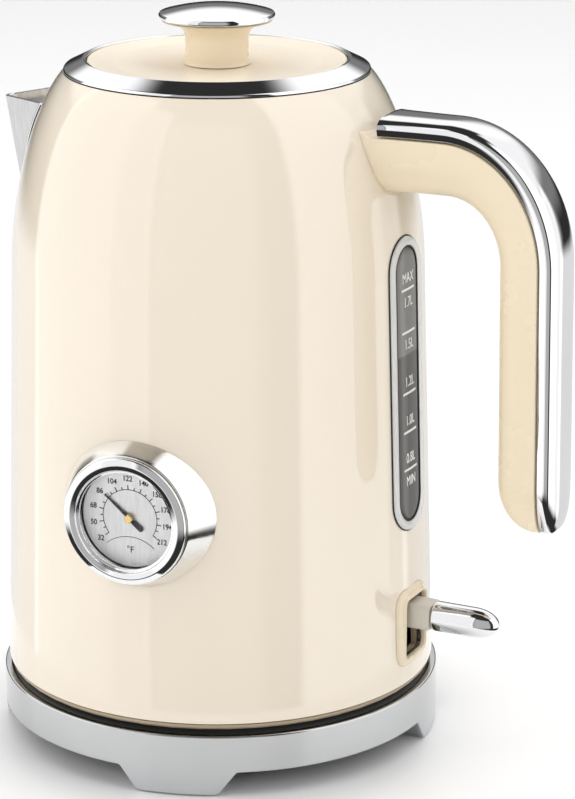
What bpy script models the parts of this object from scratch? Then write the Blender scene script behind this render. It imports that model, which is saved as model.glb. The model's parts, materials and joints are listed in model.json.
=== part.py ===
"""A retro cordless electric kettle standing on its power base, in metres with +Z up.

The jug is a body of revolution about a vertical axis. Seen from that axis the handle points along +X,
the spout along -X, and the thermometer faces the front, near -Y. The whole object is set off sideways
so that the origin is the middle of its bounding box, on the surface that it stands on.
"""

import math

import bmesh
import bpy
from mathutils import Matrix, Vector

MM = 0.001

# Fits
gap = 0.3 * MM  # between neighbouring pieces that rest on each other
slack = 0.4 * MM  # round a piece that slides or turns

# Jug body
body_bottom_radius = 72.0 * MM
body_top = 223.3 * MM
shoulder_radius = body_bottom_radius - 4.1 * MM
shoulder_height = body_top - 60.3 * MM
body_wall = 1.0 * MM
neck_radius = 46.6 * MM
neck_edge_radius = neck_radius + 3.4 * MM
neck_depth = 9.3 * MM
band_height = 1.7 * MM
floor_thickness = 3.2 * MM
housing_wall = 2.0 * MM
plug_wall = 4.0 * MM
plate_height = 58.0 * MM
plate_thickness = 1.5 * MM
seal_height = 3.6 * MM
seal_width = 3.4 * MM
element_radius = body_bottom_radius - 27.0 * MM
element_tube = 4.0 * MM
steam_tube_radius = 3.5 * MM
steam_tube_top = body_top - (shoulder_radius - neck_radius) - 2.0 * MM

# Power base
base_radius = body_bottom_radius + 1.6 * MM
skirt_wall = 2.2 * MM
skirt_top = 20.8 * MM
skirt_bottom = 8.2 * MM
foot_depth = 12.0 * MM
foot_top_half_angle = math.radians(15.3)
foot_bottom_half_angle = math.radians(10.5)
foot_clear = 0.5 * MM  # chrome foot above the table, where only the pad touches
pad_radius = 4.6 * MM
pad_height = 2.0 * MM
base_turn = math.radians(16.4)  # how the base happens to stand under the jug
deck_thickness = 2.0 * MM
deck_rise = 1.2 * MM  # deck above the skirt's rim
cover_thickness = 2.0 * MM
cover_screw_circle = base_radius - 23.6 * MM
screw_shank_radius = 1.5 * MM
screw_head_radius = 3.0 * MM
screw_head_height = 1.3 * MM
socket_radius = 15.5 * MM
socket_rise = 11.0 * MM
socket_flange = 4.0 * MM
groove_inner_radius = 8.5 * MM
groove_outer_radius = 11.5 * MM
groove_depth = 9.0 * MM
pin_hole_radius = 3.2 * MM
gland_radius = 3.2 * MM
gland_bore = 1.9 * MM
gland_reach = 1.6 * MM

# Spout
spout_reach = shoulder_radius + 13.8 * MM
spout_tip_height = body_top - 15.8 * MM
spout_rim_height = body_top - 11.3 * MM
spout_half_width = 26.5 * MM
spout_bottom_height = body_top - 82.3 * MM
spout_seam = 4.0 * MM  # body left inside the spout's seam
spout_wall = 1.0 * MM

# Handle
handle_reach = shoulder_radius + 55.4 * MM
handle_top = body_top - 8.3 * MM
handle_bottom = 84.0 * MM
handle_half_width = 10.0 * MM
handle_root_half_width = 14.5 * MM
grip_depth = 15.2 * MM
trim_depth = 6.0 * MM
grip_depth_top = 18.3 * MM
trim_depth_top = 6.4 * MM
handle_bend_out = 39.2 * MM
handle_bend_down = 45.0 * MM
handle_lean = 1.0 * MM
grip_corner = 7.0 * MM
trim_corner = 5.0 * MM
bracket_sheet = 1.5 * MM
bracket_half_width = 9.0 * MM
root_screw_heights = (handle_top - 19.5 * MM, handle_top - 10.5 * MM)
root_screw_reach = 20.0 * MM
root_screw_head_space = 2.6 * MM

# Water window
window_low = 77.0 * MM
window_high = shoulder_height + 12.0 * MM
window_half_width = 11.0 * MM
window_border = 3.7 * MM
lens_proud = 1.2 * MM

# Switch lever
lever_height = 48.1 * MM
lever_pivot_radius = body_bottom_radius - 9.0 * MM
lever_knob_start = body_bottom_radius + 8.0 * MM
lever_knob_end = lever_knob_start + 22.6 * MM
lever_knob_radius = 5.0 * MM
lever_arm_half_width = 5.0 * MM
lever_arm_half_height = 4.4 * MM
lever_pin_radius = 1.5 * MM
bezel_low = 30.7 * MM
bezel_high = 57.0 * MM
bezel_half_width = 10.6 * MM
bezel_border = 3.1 * MM
bezel_reach = body_bottom_radius + 1.3 * MM
bezel_rounding = 2.0 * MM

# Thermometer
gauge_azimuth = math.radians(-85.0)
gauge_height = 93.0 * MM
gauge_bore = 16.5 * MM
gauge_base_radius = gauge_bore + 10.5 * MM
gauge_front_radius = gauge_bore + 4.8 * MM
gauge_bezel_radius = gauge_bore + 4.4 * MM
gauge_glass_radius = gauge_bore - 1.1 * MM
gauge_face = body_bottom_radius + 4.0 * MM
gauge_bezel_height = 2.3 * MM
gauge_bezel_crest = 2.8 * MM  # ridge of the bezel, outside the glass
dial_reading = math.radians(50.0)  # of the pointer, from straight up towards the left
pointer_length = gauge_bore - 5.5 * MM
pointer_tail = 5.8 * MM
pointer_sheet = 0.5 * MM
dial_hole = 0.9 * MM
probe_radius = 3.0 * MM
probe_length = 30.0 * MM

# Lid
lid_ring_height = 4.0 * MM
lid_disc_radius = neck_radius - 4.5 * MM
lid_dish_depth = 2.4 * MM
lid_sheet = 1.5 * MM
lid_plug_wall = 1.5 * MM
lid_plug_radius = neck_radius - 1.6 * MM
knob_stem_radius = 10.3 * MM
knob_flare_radius = 17.8 * MM
knob_flare_height = 14.2 * MM
knob_cap_radius = 18.85 * MM
knob_cap_rim = 2.1 * MM
knob_cap_dome = 2.5 * MM

# Heights that follow from the ones above
deck_top = skirt_top + deck_rise
jug_floor = deck_top + gap
body_bottom = jug_floor + band_height + gap
lid_seat = body_top + gap
lid_ring_top = lid_seat + lid_ring_height
dish_floor = lid_ring_top - lid_dish_depth
plug_top = dish_floor - lid_sheet - gap
knob_foot = dish_floor + gap
knob_flare_top = knob_foot + knob_flare_height
cap_bottom = knob_flare_top + gap

outer_steps = 48
gauge_steps = 36
inner_steps = 32
small_steps = 16
screw_steps = 12


def clear_scene():
    for obj in list(bpy.data.objects):
        bpy.data.objects.remove(obj, do_unlink=True)


def new_collection(name, hidden=False):
    collection = bpy.data.collections.new(name)
    bpy.context.scene.collection.children.link(collection)
    collection.hide_render = hidden
    return collection


def new_material(name, colour, roughness, metallic=0.0, alpha=1.0):
    material = bpy.data.materials.new(name)
    material.use_nodes = True
    shader = material.node_tree.nodes["Principled BSDF"]
    shader.inputs["Base Color"].default_value = (*colour, 1.0)
    shader.inputs["Roughness"].default_value = roughness
    shader.inputs["Metallic"].default_value = metallic
    shader.inputs["Alpha"].default_value = alpha
    material.diffuse_color = (*colour, alpha)
    return material


clear_scene()
kettle_parts = new_collection("electric_kettle")
cutters = new_collection("cutters", hidden=True)

cream = new_material("cream_enamel", (0.86, 0.76, 0.56), 0.2)
cream_plastic = new_material("cream_plastic", (0.84, 0.73, 0.53), 0.3)
chrome = new_material("chrome", (0.8, 0.8, 0.82), 0.06, 1.0)
steel = new_material("brushed_steel", (0.62, 0.62, 0.64), 0.28, 1.0)
black_plastic = new_material("black_plastic", (0.03, 0.03, 0.03), 0.45)
grey_plastic = new_material("grey_plastic", (0.35, 0.35, 0.36), 0.5)
pearl_plastic = new_material("pearl_plastic", (0.85, 0.83, 0.78), 0.25)
rubber = new_material("rubber", (0.05, 0.05, 0.05), 0.8)
silicone = new_material("silicone", (0.75, 0.75, 0.74), 0.6)
brass = new_material("brass", (0.75, 0.55, 0.2), 0.25, 1.0)
glass = new_material("clear_glass", (0.9, 0.93, 0.94), 0.03, 0.0, 0.3)
dial_white = new_material("dial_print", (0.72, 0.72, 0.72), 0.6)


def new_empty(name, parent=None, matrix=None):
    empty = bpy.data.objects.new(name, None)
    kettle_parts.objects.link(empty)
    empty.parent = parent
    if matrix is not None:
        empty.matrix_local = matrix
    return empty


gauge_tilt = gauge_azimuth + math.pi / 2
gauge_reach = (gauge_face + gap + gauge_bezel_height) * math.cos(gauge_tilt)
gauge_reach += (gauge_glass_radius + gauge_bezel_crest) * math.sin(gauge_tilt)
axis_x = -(handle_reach + handle_lean - spout_reach) / 2
axis_y = (gauge_reach - base_radius) / 2
kettle_axis = new_empty("kettle_axis", matrix=Matrix.Translation((axis_x, axis_y, 0)))
base_axis = new_empty("base_axis", kettle_axis, Matrix.Rotation(base_turn, 4, "Z"))
gauge_axis = new_empty(
    "gauge_axis",
    kettle_axis,
    Matrix.Translation((0, 0, gauge_height))
    @ Matrix.Rotation(gauge_tilt, 4, "Z")
    @ Matrix.Rotation(math.pi / 2, 4, "X"),
)
lever_axis = new_empty(
    "lever_axis", kettle_axis, Matrix.Translation((lever_pivot_radius, 0, lever_height))
)


def add_object(name, mesh, material, parent, where=None):
    """Put a mesh into the scene as one piece, or as a cutter when it has no material."""
    obj = bpy.data.objects.new(name, mesh)
    if material is None:
        cutters.objects.link(obj)
        obj.hide_render = True
        obj.display_type = "WIRE"
    else:
        kettle_parts.objects.link(obj)
        mesh.materials.append(material)
    obj.parent = parent
    if where is not None:
        obj.matrix_local = where
    return obj


def turned(name, profile, material, parent=kettle_axis, steps=inner_steps, where=None):
    """A profile of (radius, height) turned about Z.

    It runs out and down its outer side, and closes on itself unless both ends lie on the axis.
    """
    mesh = bpy.data.meshes.new(name)
    count = len(profile)
    on_axis = profile[0][0] == 0 and profile[-1][0] == 0
    edges = [(i, (i + 1) % count) for i in range(count - 1 if on_axis else count)]
    mesh.from_pydata([(r, 0, z) for r, z in profile], edges, [])
    obj = add_object(name, mesh, material, parent, where)
    screw = obj.modifiers.new("Turn", "SCREW")
    screw.steps = steps
    screw.render_steps = steps
    screw.use_merge_vertices = True
    screw.merge_threshold = 0.00001
    screw.use_smooth_shade = True
    return obj


def rod(name, radius, low, high, material, parent=kettle_axis, steps=small_steps, where=None):
    profile = [(0, high), (radius, high), (radius, low), (0, low)]
    return turned(name, profile, material, parent, steps, where)


def ring(name, inner, outer, low, high, material, parent=kettle_axis, steps=inner_steps, where=None):
    profile = [(inner, high), (outer, high), (outer, low), (inner, low)]
    return turned(name, profile, material, parent, steps, where)


def block(name, low, high, material, parent=kettle_axis, bevel=0.0, segments=2, where=None):
    """A box between two corners, with its edges rounded."""
    low, high = Vector(low), Vector(high)
    shape = bmesh.new()
    bmesh.ops.create_cube(shape, size=1.0)
    bmesh.ops.scale(shape, vec=high - low, verts=shape.verts)
    bmesh.ops.translate(shape, vec=(low + high) / 2, verts=shape.verts)
    mesh = bpy.data.meshes.new(name)
    shape.to_mesh(mesh)
    shape.free()
    obj = add_object(name, mesh, material, parent, where)
    if bevel:
        rounding = obj.modifiers.new("Rounding", "BEVEL")
        rounding.width = bevel
        rounding.segments = segments
    return obj


def boolean(obj, other, operation="DIFFERENCE"):
    step = obj.modifiers.new(operation.title(), "BOOLEAN")
    step.operation = operation
    step.object = other


def prism(name, outline, near, far, material=None, parent=kettle_axis, where=None):
    """An outline of (y, z) points carried along +X from near to far."""
    shape = bmesh.new()
    face = shape.faces.new([shape.verts.new((near, y, z)) for y, z in outline])
    grown = bmesh.ops.extrude_face_region(shape, geom=[face])
    moved = [item for item in grown["geom"] if isinstance(item, bmesh.types.BMVert)]
    bmesh.ops.translate(shape, vec=(far - near, 0, 0), verts=moved)
    bmesh.ops.recalc_face_normals(shape, faces=shape.faces)
    mesh = bpy.data.meshes.new(name)
    shape.to_mesh(mesh)
    shape.free()
    return add_object(name, mesh, material, parent, where)


def stadium(low, high, half_width, steps=12):
    """An upright outline with round ends."""
    outline = []
    for centre, start in ((high - half_width, 0.0), (low + half_width, math.pi)):
        for i in range(steps + 1):
            angle = start + math.pi * i / steps
            outline.append((half_width * math.cos(angle), centre + half_width * math.sin(angle)))
    return outline


def radial(angle):
    """Turns a piece that is modelled along +X round the kettle's axis."""
    return Matrix.Rotation(angle, 4, "Z")


def along_x(x=0.0, y=0.0, z=0.0):
    """Lays a piece that is turned about Z along +X."""
    return Matrix.Translation((x, y, z)) @ Matrix.Rotation(math.pi / 2, 4, "Y")


def bezier(p0, p1, p2, p3, count):
    points = []
    for i in range(count + 1):
        t = i / count
        weights = ((1 - t) ** 3, 3 * t * (1 - t) ** 2, 3 * t * t * (1 - t), t**3)
        points.append(tuple(sum(w * p[k] for w, p in zip(weights, (p0, p1, p2, p3))) for k in (0, 1)))
    return points


def body_outline(offset=0.0, count=7):
    """The jug's outer profile from its top edge down, moved outwards by offset along its normal."""
    rise = body_top - shoulder_height
    tuck = shoulder_radius - neck_edge_radius
    shoulder = bezier(
        (neck_edge_radius, body_top),
        (neck_edge_radius + 0.615 * tuck, body_top - 0.204 * rise),
        (shoulder_radius - 0.028 * tuck, shoulder_height + 0.3 * rise),
        (shoulder_radius, shoulder_height),
        count,
    )
    line = shoulder + [(body_bottom_radius, body_bottom)]
    moved = []
    for i, (r, z) in enumerate(line):
        before, after = line[max(i - 1, 0)], line[min(i + 1, len(line) - 1)]
        along = Vector((after[0] - before[0], after[1] - before[1])).normalized()
        moved.append((r - along.y * offset, z + along.x * offset))
    return moved


def body_radius(z, offset=0.0):
    """The jug's outer radius at a height, moved outwards by offset."""
    line = body_outline(offset)
    for (r0, z0), (r1, z1) in zip(line, line[1:]):
        if z1 <= z <= z0:
            return r0 + (r1 - r0) * (z - z0) / (z1 - z0)
    return line[0][0] if z > line[0][1] else line[-1][0]


def body_core(name, offset):
    """A cutter that fills the jug out to its outer surface plus offset."""
    line = body_outline(offset)
    top, bottom = line[0], line[-1]
    profile = [(0, top[1] + 20 * MM), (top[0], top[1] + 20 * MM), *line, (bottom[0], 0), (0, 0)]
    return turned(name, profile, None, steps=outer_steps)


def body_layer(name, inner, outer, material):
    """A thin skin that follows the jug's side between two offsets from its outer surface."""
    near, far = body_outline(inner), body_outline(outer)
    return turned(name, far + near[::-1], material, steps=outer_steps)


outside_body = body_core("outside_body", gap)


# ---- Power base ----


def make_skirt():
    inner = base_radius - skirt_wall
    profile = [
        (inner, skirt_top),
        (base_radius - 0.5 * MM, skirt_top),
        (base_radius, skirt_top - 0.5 * MM),
        (base_radius, skirt_bottom),
        (inner, skirt_bottom),
    ]
    skirt = turned("base_skirt", profile, chrome, base_axis, outer_steps)
    feet = ring(
        "feet_ring",
        base_radius - foot_depth,
        base_radius,
        foot_clear,
        foot_top,
        None,
        base_axis,
        outer_steps,
    )
    for name, turn in (("feet_span_x", 0.0), ("feet_span_y", math.pi / 2)):
        feet_span(name, turn)
    boolean(bpy.data.objects["feet_span_x"], bpy.data.objects["feet_span_y"], "UNION")
    boolean(feet, bpy.data.objects["feet_span_x"], "INTERSECT")
    boolean(skirt, feet, "UNION")
    for i in range(4):
        pocket = rod(
            f"pad_pocket_{i + 1}",
            pad_radius + gap,
            -1 * MM,
            pad_height + gap,
            None,
            base_axis,
            where=radial(i * math.pi / 2) @ Matrix.Translation((pad_circle, 0, 0)),
        )
        boolean(skirt, pocket)
    boolean(skirt, gland_hole)
    return skirt


foot_top = skirt_bottom + 3.6 * MM
pad_circle = base_radius - foot_depth / 2


def feet_span(name, turn):
    """A bar right across the base whose section is one foot's outline."""
    top = base_radius * math.sin(foot_top_half_angle)
    low = base_radius * math.sin(foot_bottom_half_angle)
    outline = [(-low, -1 * MM), (low, -1 * MM), (top, skirt_bottom), (top, foot_top + 1 * MM)]
    outline += [(-top, foot_top + 1 * MM), (-top, skirt_bottom)]
    half_length = base_radius + 1 * MM
    return prism(name, outline, -half_length, half_length, None, base_axis, radial(turn))


gland_height = (foot_top + skirt_top) / 2
gland_place = radial(3 * math.pi / 4) @ along_x(0, 0, gland_height)
gland_hole = rod(
    "gland_hole",
    gland_radius + gap,
    0.8 * base_radius,
    1.2 * base_radius,
    None,
    base_axis,
    where=gland_place,
)


def make_deck():
    outer = base_radius - skirt_wall - gap
    hole = socket_radius + slack
    low = deck_top - deck_thickness
    profile = [
        (hole, deck_top),
        (outer - 1.8 * MM, deck_top),
        (outer, skirt_top - 0.4 * MM),
        (outer, foot_top + gap),
        (outer - deck_thickness, foot_top + gap),
        (outer - deck_thickness, low),
        (hole, low),
    ]
    deck = turned("base_deck", profile, black_plastic, base_axis, outer_steps)
    boolean(deck, gland_hole)
    return deck


socket_seat = deck_top - deck_thickness - gap
socket_top = deck_top + socket_rise
cover_bottom = foot_clear + pad_height


def make_floor_cover():
    outer = base_radius - foot_depth - gap
    inner = outer - cover_thickness
    top = cover_bottom + cover_thickness
    profile = [(0, top), (inner, top), (inner, socket_seat), (outer, socket_seat), (outer, cover_bottom)]
    profile.append((0, cover_bottom))
    cover = turned("base_floor_cover", profile, black_plastic, base_axis)
    for i in range(3):
        place = radial(math.tau * (i + 0.2) / 3) @ Matrix.Translation((cover_screw_circle, 0, 0))
        hole = rod(
            f"cover_hole_{i + 1}", screw_shank_radius + gap, 0, 2 * top, None, base_axis, where=place
        )
        boolean(cover, hole)
        screw(f"base_screw_{i + 1}", cover_bottom - gap, socket_seat, base_axis, place)


def screw(name, seat, end, parent, where):
    """A pan-head screw whose head is under seat and whose shank reaches end, both along its own Z."""
    way = 1 if end > seat else -1
    profile = [
        (0, end),
        (screw_shank_radius, end),
        (screw_shank_radius, seat),
        (screw_head_radius, seat),
        (screw_head_radius, seat - way * screw_head_height),
        (0, seat - way * screw_head_height),
    ]
    return turned(name, profile if way > 0 else profile[::-1], steel, parent, screw_steps, where)


def make_base_connector():
    turned(
        "base_socket",
        [
            (0, socket_top - groove_depth - 2 * MM),
            (pin_hole_radius, socket_top - groove_depth - 2 * MM),
            (pin_hole_radius, socket_top),
            (groove_inner_radius, socket_top),
            (groove_inner_radius, socket_top - groove_depth),
            (groove_outer_radius, socket_top - groove_depth),
            (groove_outer_radius, socket_top),
            (socket_radius - 0.8 * MM, socket_top),
            (socket_radius, socket_top - 0.8 * MM),
            (socket_radius, socket_seat),
            (socket_radius + socket_flange, socket_seat),
            (socket_radius + socket_flange, socket_seat - 3 * MM),
            (0, socket_seat - 3 * MM),
        ],
        black_plastic,
        base_axis,
    )
    low = socket_top - groove_depth + gap
    ring(
        "base_ring_contact",
        groove_inner_radius + gap,
        groove_outer_radius - gap,
        low,
        low + contact_height,
        brass,
        base_axis,
    )
    rod(
        "base_centre_contact",
        pin_hole_radius - 1.2 * MM,
        low - 2 * MM,
        low - 2 * MM + contact_height,
        brass,
        base_axis,
    )


contact_height = 1.5 * MM


def make_feet_and_gland():
    for i in range(4):
        rod(
            f"rubber_foot_{i + 1}",
            pad_radius,
            0,
            pad_height,
            rubber,
            base_axis,
            where=radial(i * math.pi / 2) @ Matrix.Translation((pad_circle, 0, 0)),
        )
    near = base_radius - skirt_wall - gap - deck_thickness - 3 * MM
    seat = base_radius + gap
    profile = [
        (gland_bore, seat + gland_reach),
        (gland_radius + gland_reach, seat + gland_reach),
        (gland_radius + gland_reach, seat),
        (gland_radius, seat),
        (gland_radius, near),
        (gland_bore, near),
    ]
    turned("cord_gland", profile, rubber, base_axis, small_steps, gland_place)


make_skirt()
make_deck()
make_floor_cover()
make_base_connector()
make_feet_and_gland()

# ---- Jug side of the connector, which turns under the jug ----

recess_radius = socket_radius + 0.6 * MM
recess_top = socket_top + 1.0 * MM
plug_radius = recess_radius + plug_wall
floor_top = jug_floor + floor_thickness


def make_jug_connector():
    turned(
        "jug_plug",
        [
            (0, recess_top + 3.5 * MM),
            (plug_radius, recess_top + 3.5 * MM),
            (plug_radius, floor_top + gap + 2.4 * MM),
            (plug_radius + 4 * MM, floor_top + gap + 2.4 * MM),
            (plug_radius + 4 * MM, floor_top + gap),
            (plug_radius, floor_top + gap),
            (plug_radius, jug_floor),
            (recess_radius, jug_floor),
            (recess_radius, recess_top),
            (0, recess_top),
        ],
        black_plastic,
    )
    ring_contact_top = socket_top - groove_depth + gap + contact_height
    middle = (groove_inner_radius + groove_outer_radius) / 2
    ring(
        "jug_ring_pin",
        middle - 0.8 * MM,
        middle + 0.8 * MM,
        ring_contact_top + slack,
        recess_top - gap,
        brass,
    )
    rod(
        "jug_centre_pin",
        pin_hole_radius - 1.6 * MM,
        ring_contact_top - 2 * MM + slack,
        recess_top - gap,
        brass,
    )


make_jug_connector()

# ---- Jug ----

bezel_opening_low = bezel_low + bezel_border
bezel_opening_high = bezel_high - bezel_border
bezel_opening_half = bezel_half_width - bezel_border


def make_body_shell():
    outer = body_outline()
    inner = body_outline(-body_wall)
    inner[-1] = (inner[-1][0], body_bottom)
    top, edge = body_top - body_wall, neck_radius + 2 * body_wall
    inner = [(r, z) for r, z in inner if z < top and r > edge]
    neck = [
        (neck_radius + body_wall, body_top - body_wall),
        (neck_radius + body_wall, body_top - neck_depth),
        (neck_radius, body_top - neck_depth),
        (neck_radius, body_top),
    ]
    shell = turned("body_shell", outer + inner[::-1] + neck, cream, steps=outer_steps)
    start = 0.8 * shoulder_radius
    window_hole = prism("window_hole", window_outline(window_border), start, base_radius)
    probe_hole = rod("probe_hole", probe_radius + gap, start, base_radius, None, gauge_axis)
    boolean(shell, window_hole)
    boolean(shell, lever_hole)
    boolean(shell, probe_hole)
    mouth = prism("spout_mouth", spout_outline(spout_seam), -spout_reach, -0.6 * shoulder_radius)
    boolean(shell, mouth)
    for hole in root_holes:
        boolean(shell, hole)


def window_outline(inset):
    return stadium(window_low + inset, window_high - inset, window_half_width - inset)


def spout_outline(inset):
    """The spout's triangle as seen from its own side, moved in by inset."""
    half = spout_half_width - 1.4 * inset
    top, low = spout_rim_height - inset, spout_bottom_height + 3 * inset
    return [(-half, top), (half, top), (0, low)]


lever_hole = block(
    "lever_hole",
    (0.8 * body_bottom_radius, -bezel_opening_half, bezel_opening_low),
    (1.2 * body_bottom_radius, bezel_opening_half, bezel_opening_high),
    None,
)


def root_screw_seat(height):
    """Where a handle screw's head bears on its bracket, along X."""
    return body_radius(height, -body_wall - gap - bracket_sheet) - root_screw_head_space


root_holes = []
for i, z in enumerate(root_screw_heights):
    end = root_screw_seat(z) + root_screw_reach + 1 * MM
    root_holes.append(
        rod(f"root_hole_{i + 1}", screw_shank_radius + gap, 0, end, None, where=along_x(0, 0, z))
    )
make_body_shell()


def make_spout():
    """Two flat steel faces folded along the front ridge, trimmed where they meet the body."""
    corner = body_radius(spout_rim_height)
    tip = Vector((-spout_reach, 0, spout_tip_height))
    near = Vector((-math.sqrt(corner**2 - spout_half_width**2), -spout_half_width, spout_rim_height))
    foot = Vector((-body_radius(spout_bottom_height), 0, spout_bottom_height))
    near = tip + (near - tip) * 1.3
    foot = tip + (foot - tip) * 1.25
    far = Vector((near.x, -near.y, near.z))
    mesh = bpy.data.meshes.new("spout")
    mesh.from_pydata([tip, near, foot, far], [], [(0, 2, 1), (0, 3, 2)])
    spout = add_object("spout", mesh, steel, kettle_axis)
    sheet = spout.modifiers.new("Sheet", "SOLIDIFY")
    sheet.thickness = spout_wall
    sheet.use_even_offset = True
    boolean(spout, outside_body)
    filter_plate = body_layer("spout_filter", -body_wall - gap - 0.8 * MM, -body_wall - gap, steel)
    filter_outline = spout_outline(spout_seam - 2 * MM)
    boolean(
        filter_plate,
        prism("filter_outline", filter_outline, -spout_reach, -0.4 * shoulder_radius),
        "INTERSECT",
    )


make_spout()


def make_underside():
    """The plastic floor of the jug, the heater above it and the controls between them."""
    hole = plug_radius + gap
    wall_top = plate_height - gap - seal_height - gap
    outside_top = body_radius(wall_top, -body_wall - gap)
    outside_low = body_radius(body_bottom + 1 * MM, -body_wall - gap)
    housing = turned(
        "base_housing",
        [
            (hole, floor_top),
            (outside_low - housing_wall, floor_top),
            (outside_top - housing_wall, wall_top),
            (outside_top, wall_top),
            (outside_low, body_bottom - gap),
            (body_bottom_radius - 0.6 * MM, body_bottom - gap),
            (body_bottom_radius - 0.6 * MM, jug_floor + 0.8 * MM),
            (body_bottom_radius - 1.4 * MM, jug_floor),
            (hole, jug_floor),
        ],
        cream_plastic,
        steps=outer_steps,
    )
    boolean(housing, lever_hole)
    rim = body_radius(plate_height + plate_thickness, -body_wall - gap)
    low, high = wall_top + gap, plate_height - gap
    ring("plate_seal", rim - seal_width, rim, low, high, silicone, steps=outer_steps)
    tube_x, tube_y = steam_tube_place
    plate_top = plate_height + plate_thickness
    plate = rod("heater_plate", rim, plate_height, plate_top, steel, steps=outer_steps)
    place = Matrix.Translation((tube_x, tube_y, 0))
    boolean(plate, rod("tube_hole", steam_tube_radius + gap, 0, 2 * plate_height, None, where=place))
    element = [
        (
            element_radius + element_tube * math.cos(-math.tau * i / 8),
            plate_height - gap - element_tube + element_tube * math.sin(-math.tau * i / 8),
        )
        for i in range(8)
    ]
    turned("heating_element", element, steel)
    bore = steam_tube_radius - 1 * MM
    ring(
        "steam_tube",
        bore,
        steam_tube_radius,
        control_top + gap,
        steam_tube_top,
        grey_plastic,
        where=place,
        steps=screw_steps,
    )
    half = control_half_width
    low, high = (control_start, -half, floor_top + gap), (control_end, half, control_top)
    control = block("control_body", low, high, black_plastic, bevel=1.5 * MM)
    place = Matrix.Translation((control_start + 8 * MM, 0, 0))
    rod("bimetal_disc", 7 * MM, control_top + gap, control_top + gap + 0.6 * MM, brass, where=place)
    for i, hole in enumerate(floor_holes):
        boolean(housing, hole)
        place = Matrix.Translation((*floor_screws[i], 0))
        screw(f"floor_screw_{i + 1}", floor_screw_seat, floor_top + 8 * MM, kettle_axis, place)
    for hole in floor_holes[:2]:
        boolean(control, hole)


control_top = 41.0 * MM
control_start = plug_radius + 5 * MM
control_end = body_bottom_radius - 16.0 * MM
control_half_width = 17.0 * MM
steam_tube_place = (control_end - 3.0 * MM, -12.0 * MM)
control_screw_x = control_start + 7.9 * MM
bracket_screw_x = body_bottom_radius - 10.5 * MM
floor_screws = (
    (control_screw_x, -11.0 * MM),
    (control_screw_x, 11.0 * MM),
    (bracket_screw_x, 2.5 * MM),
)
floor_screw_seat = jug_floor + screw_head_height


def stepped_hole(name, end, step, where):
    """A cutter for a screw's shank and, up to step, for its head."""
    shank, head = screw_shank_radius + gap, screw_head_radius + gap
    profile = [(0, end), (shank, end), (shank, step), (head, step), (head, 0), (0, 0)]
    return turned(name, profile, None, steps=small_steps, where=where)


floor_holes = []
for i, (x, y) in enumerate(floor_screws):
    place = Matrix.Translation((x, y, 0))
    floor_holes.append(
        stepped_hole(f"floor_hole_{i + 1}", floor_top + 9 * MM, floor_screw_seat + gap, place)
    )
make_underside()


def make_switch():
    """The cream surround, the bracket behind it, and the lever on its pin."""
    bezel = block(
        "lever_bezel",
        (0.9 * body_bottom_radius, -bezel_half_width, bezel_low),
        (bezel_reach, bezel_half_width, bezel_high),
        cream_plastic,
        bevel=bezel_rounding,
        segments=3,
    )
    boolean(bezel, outside_body)
    boolean(bezel, lever_hole)
    half = lever_arm_half_width
    across = Matrix.Rotation(math.pi / 2, 4, "X")
    reach = bezel_half_width + 5 * MM
    pin_hole = rod(
        "pin_hole", lever_pin_radius + gap, -reach, reach, None, lever_axis, where=across
    )
    bracket = block(
        "switch_bracket",
        (lever_pivot_radius - 5 * MM, -half - 2.3 * MM, floor_top + gap),
        (lever_pivot_radius + 3.5 * MM, half + 2.3 * MM, lever_height + 4 * MM),
        black_plastic,
    )
    side = half + 0.7 * MM
    low = (0.5 * lever_pivot_radius, -side, control_top - 6 * MM)
    high = (base_radius, side, plate_height)
    boolean(bracket, block("bracket_slot", low, high, None))
    boolean(bracket, pin_hole)
    boolean(bracket, floor_holes[2])
    arm = block(
        "lever_arm",
        (-4 * MM, -half, -lever_arm_half_height),
        (lever_knob_start - gap - lever_pivot_radius, half, lever_arm_half_height),
        pearl_plastic,
        lever_axis,
        bevel=1.2 * MM,
    )
    boolean(arm, pin_hole)
    reach = half + 2 * MM
    rod("lever_pin", lever_pin_radius, -reach, reach, steel, lever_axis, screw_steps, across)
    start = lever_knob_start - lever_pivot_radius
    end = lever_knob_end - lever_pivot_radius
    r = lever_knob_radius
    profile = [(0, end)]
    for i in range(1, 5):
        angle = math.pi / 2 * i / 4
        profile.append((0.86 * r * math.sin(angle), end - 1.1 * r + 1.1 * r * math.cos(angle)))
    profile += [(r, start + 0.8 * MM), (r - 0.8 * MM, start), (0, start)]
    turned("lever_knob", profile, chrome, lever_axis, small_steps, along_x())


make_switch()


def loft(name, stations, material):
    """A closed body through equal-sized rings of points."""
    shape = bmesh.new()
    rings = [[shape.verts.new(point) for point in station] for station in stations]
    for one, two in zip(rings, rings[1:]):
        for i in range(len(one)):
            j = (i + 1) % len(one)
            shape.faces.new((one[i], one[j], two[j], two[i]))
    shape.faces.new(rings[0][::-1])
    shape.faces.new(rings[-1])
    bmesh.ops.recalc_face_normals(shape, faces=shape.faces)
    mesh = bpy.data.meshes.new(name)
    shape.to_mesh(mesh)
    shape.free()
    return add_object(name, mesh, material, kettle_axis)


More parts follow.
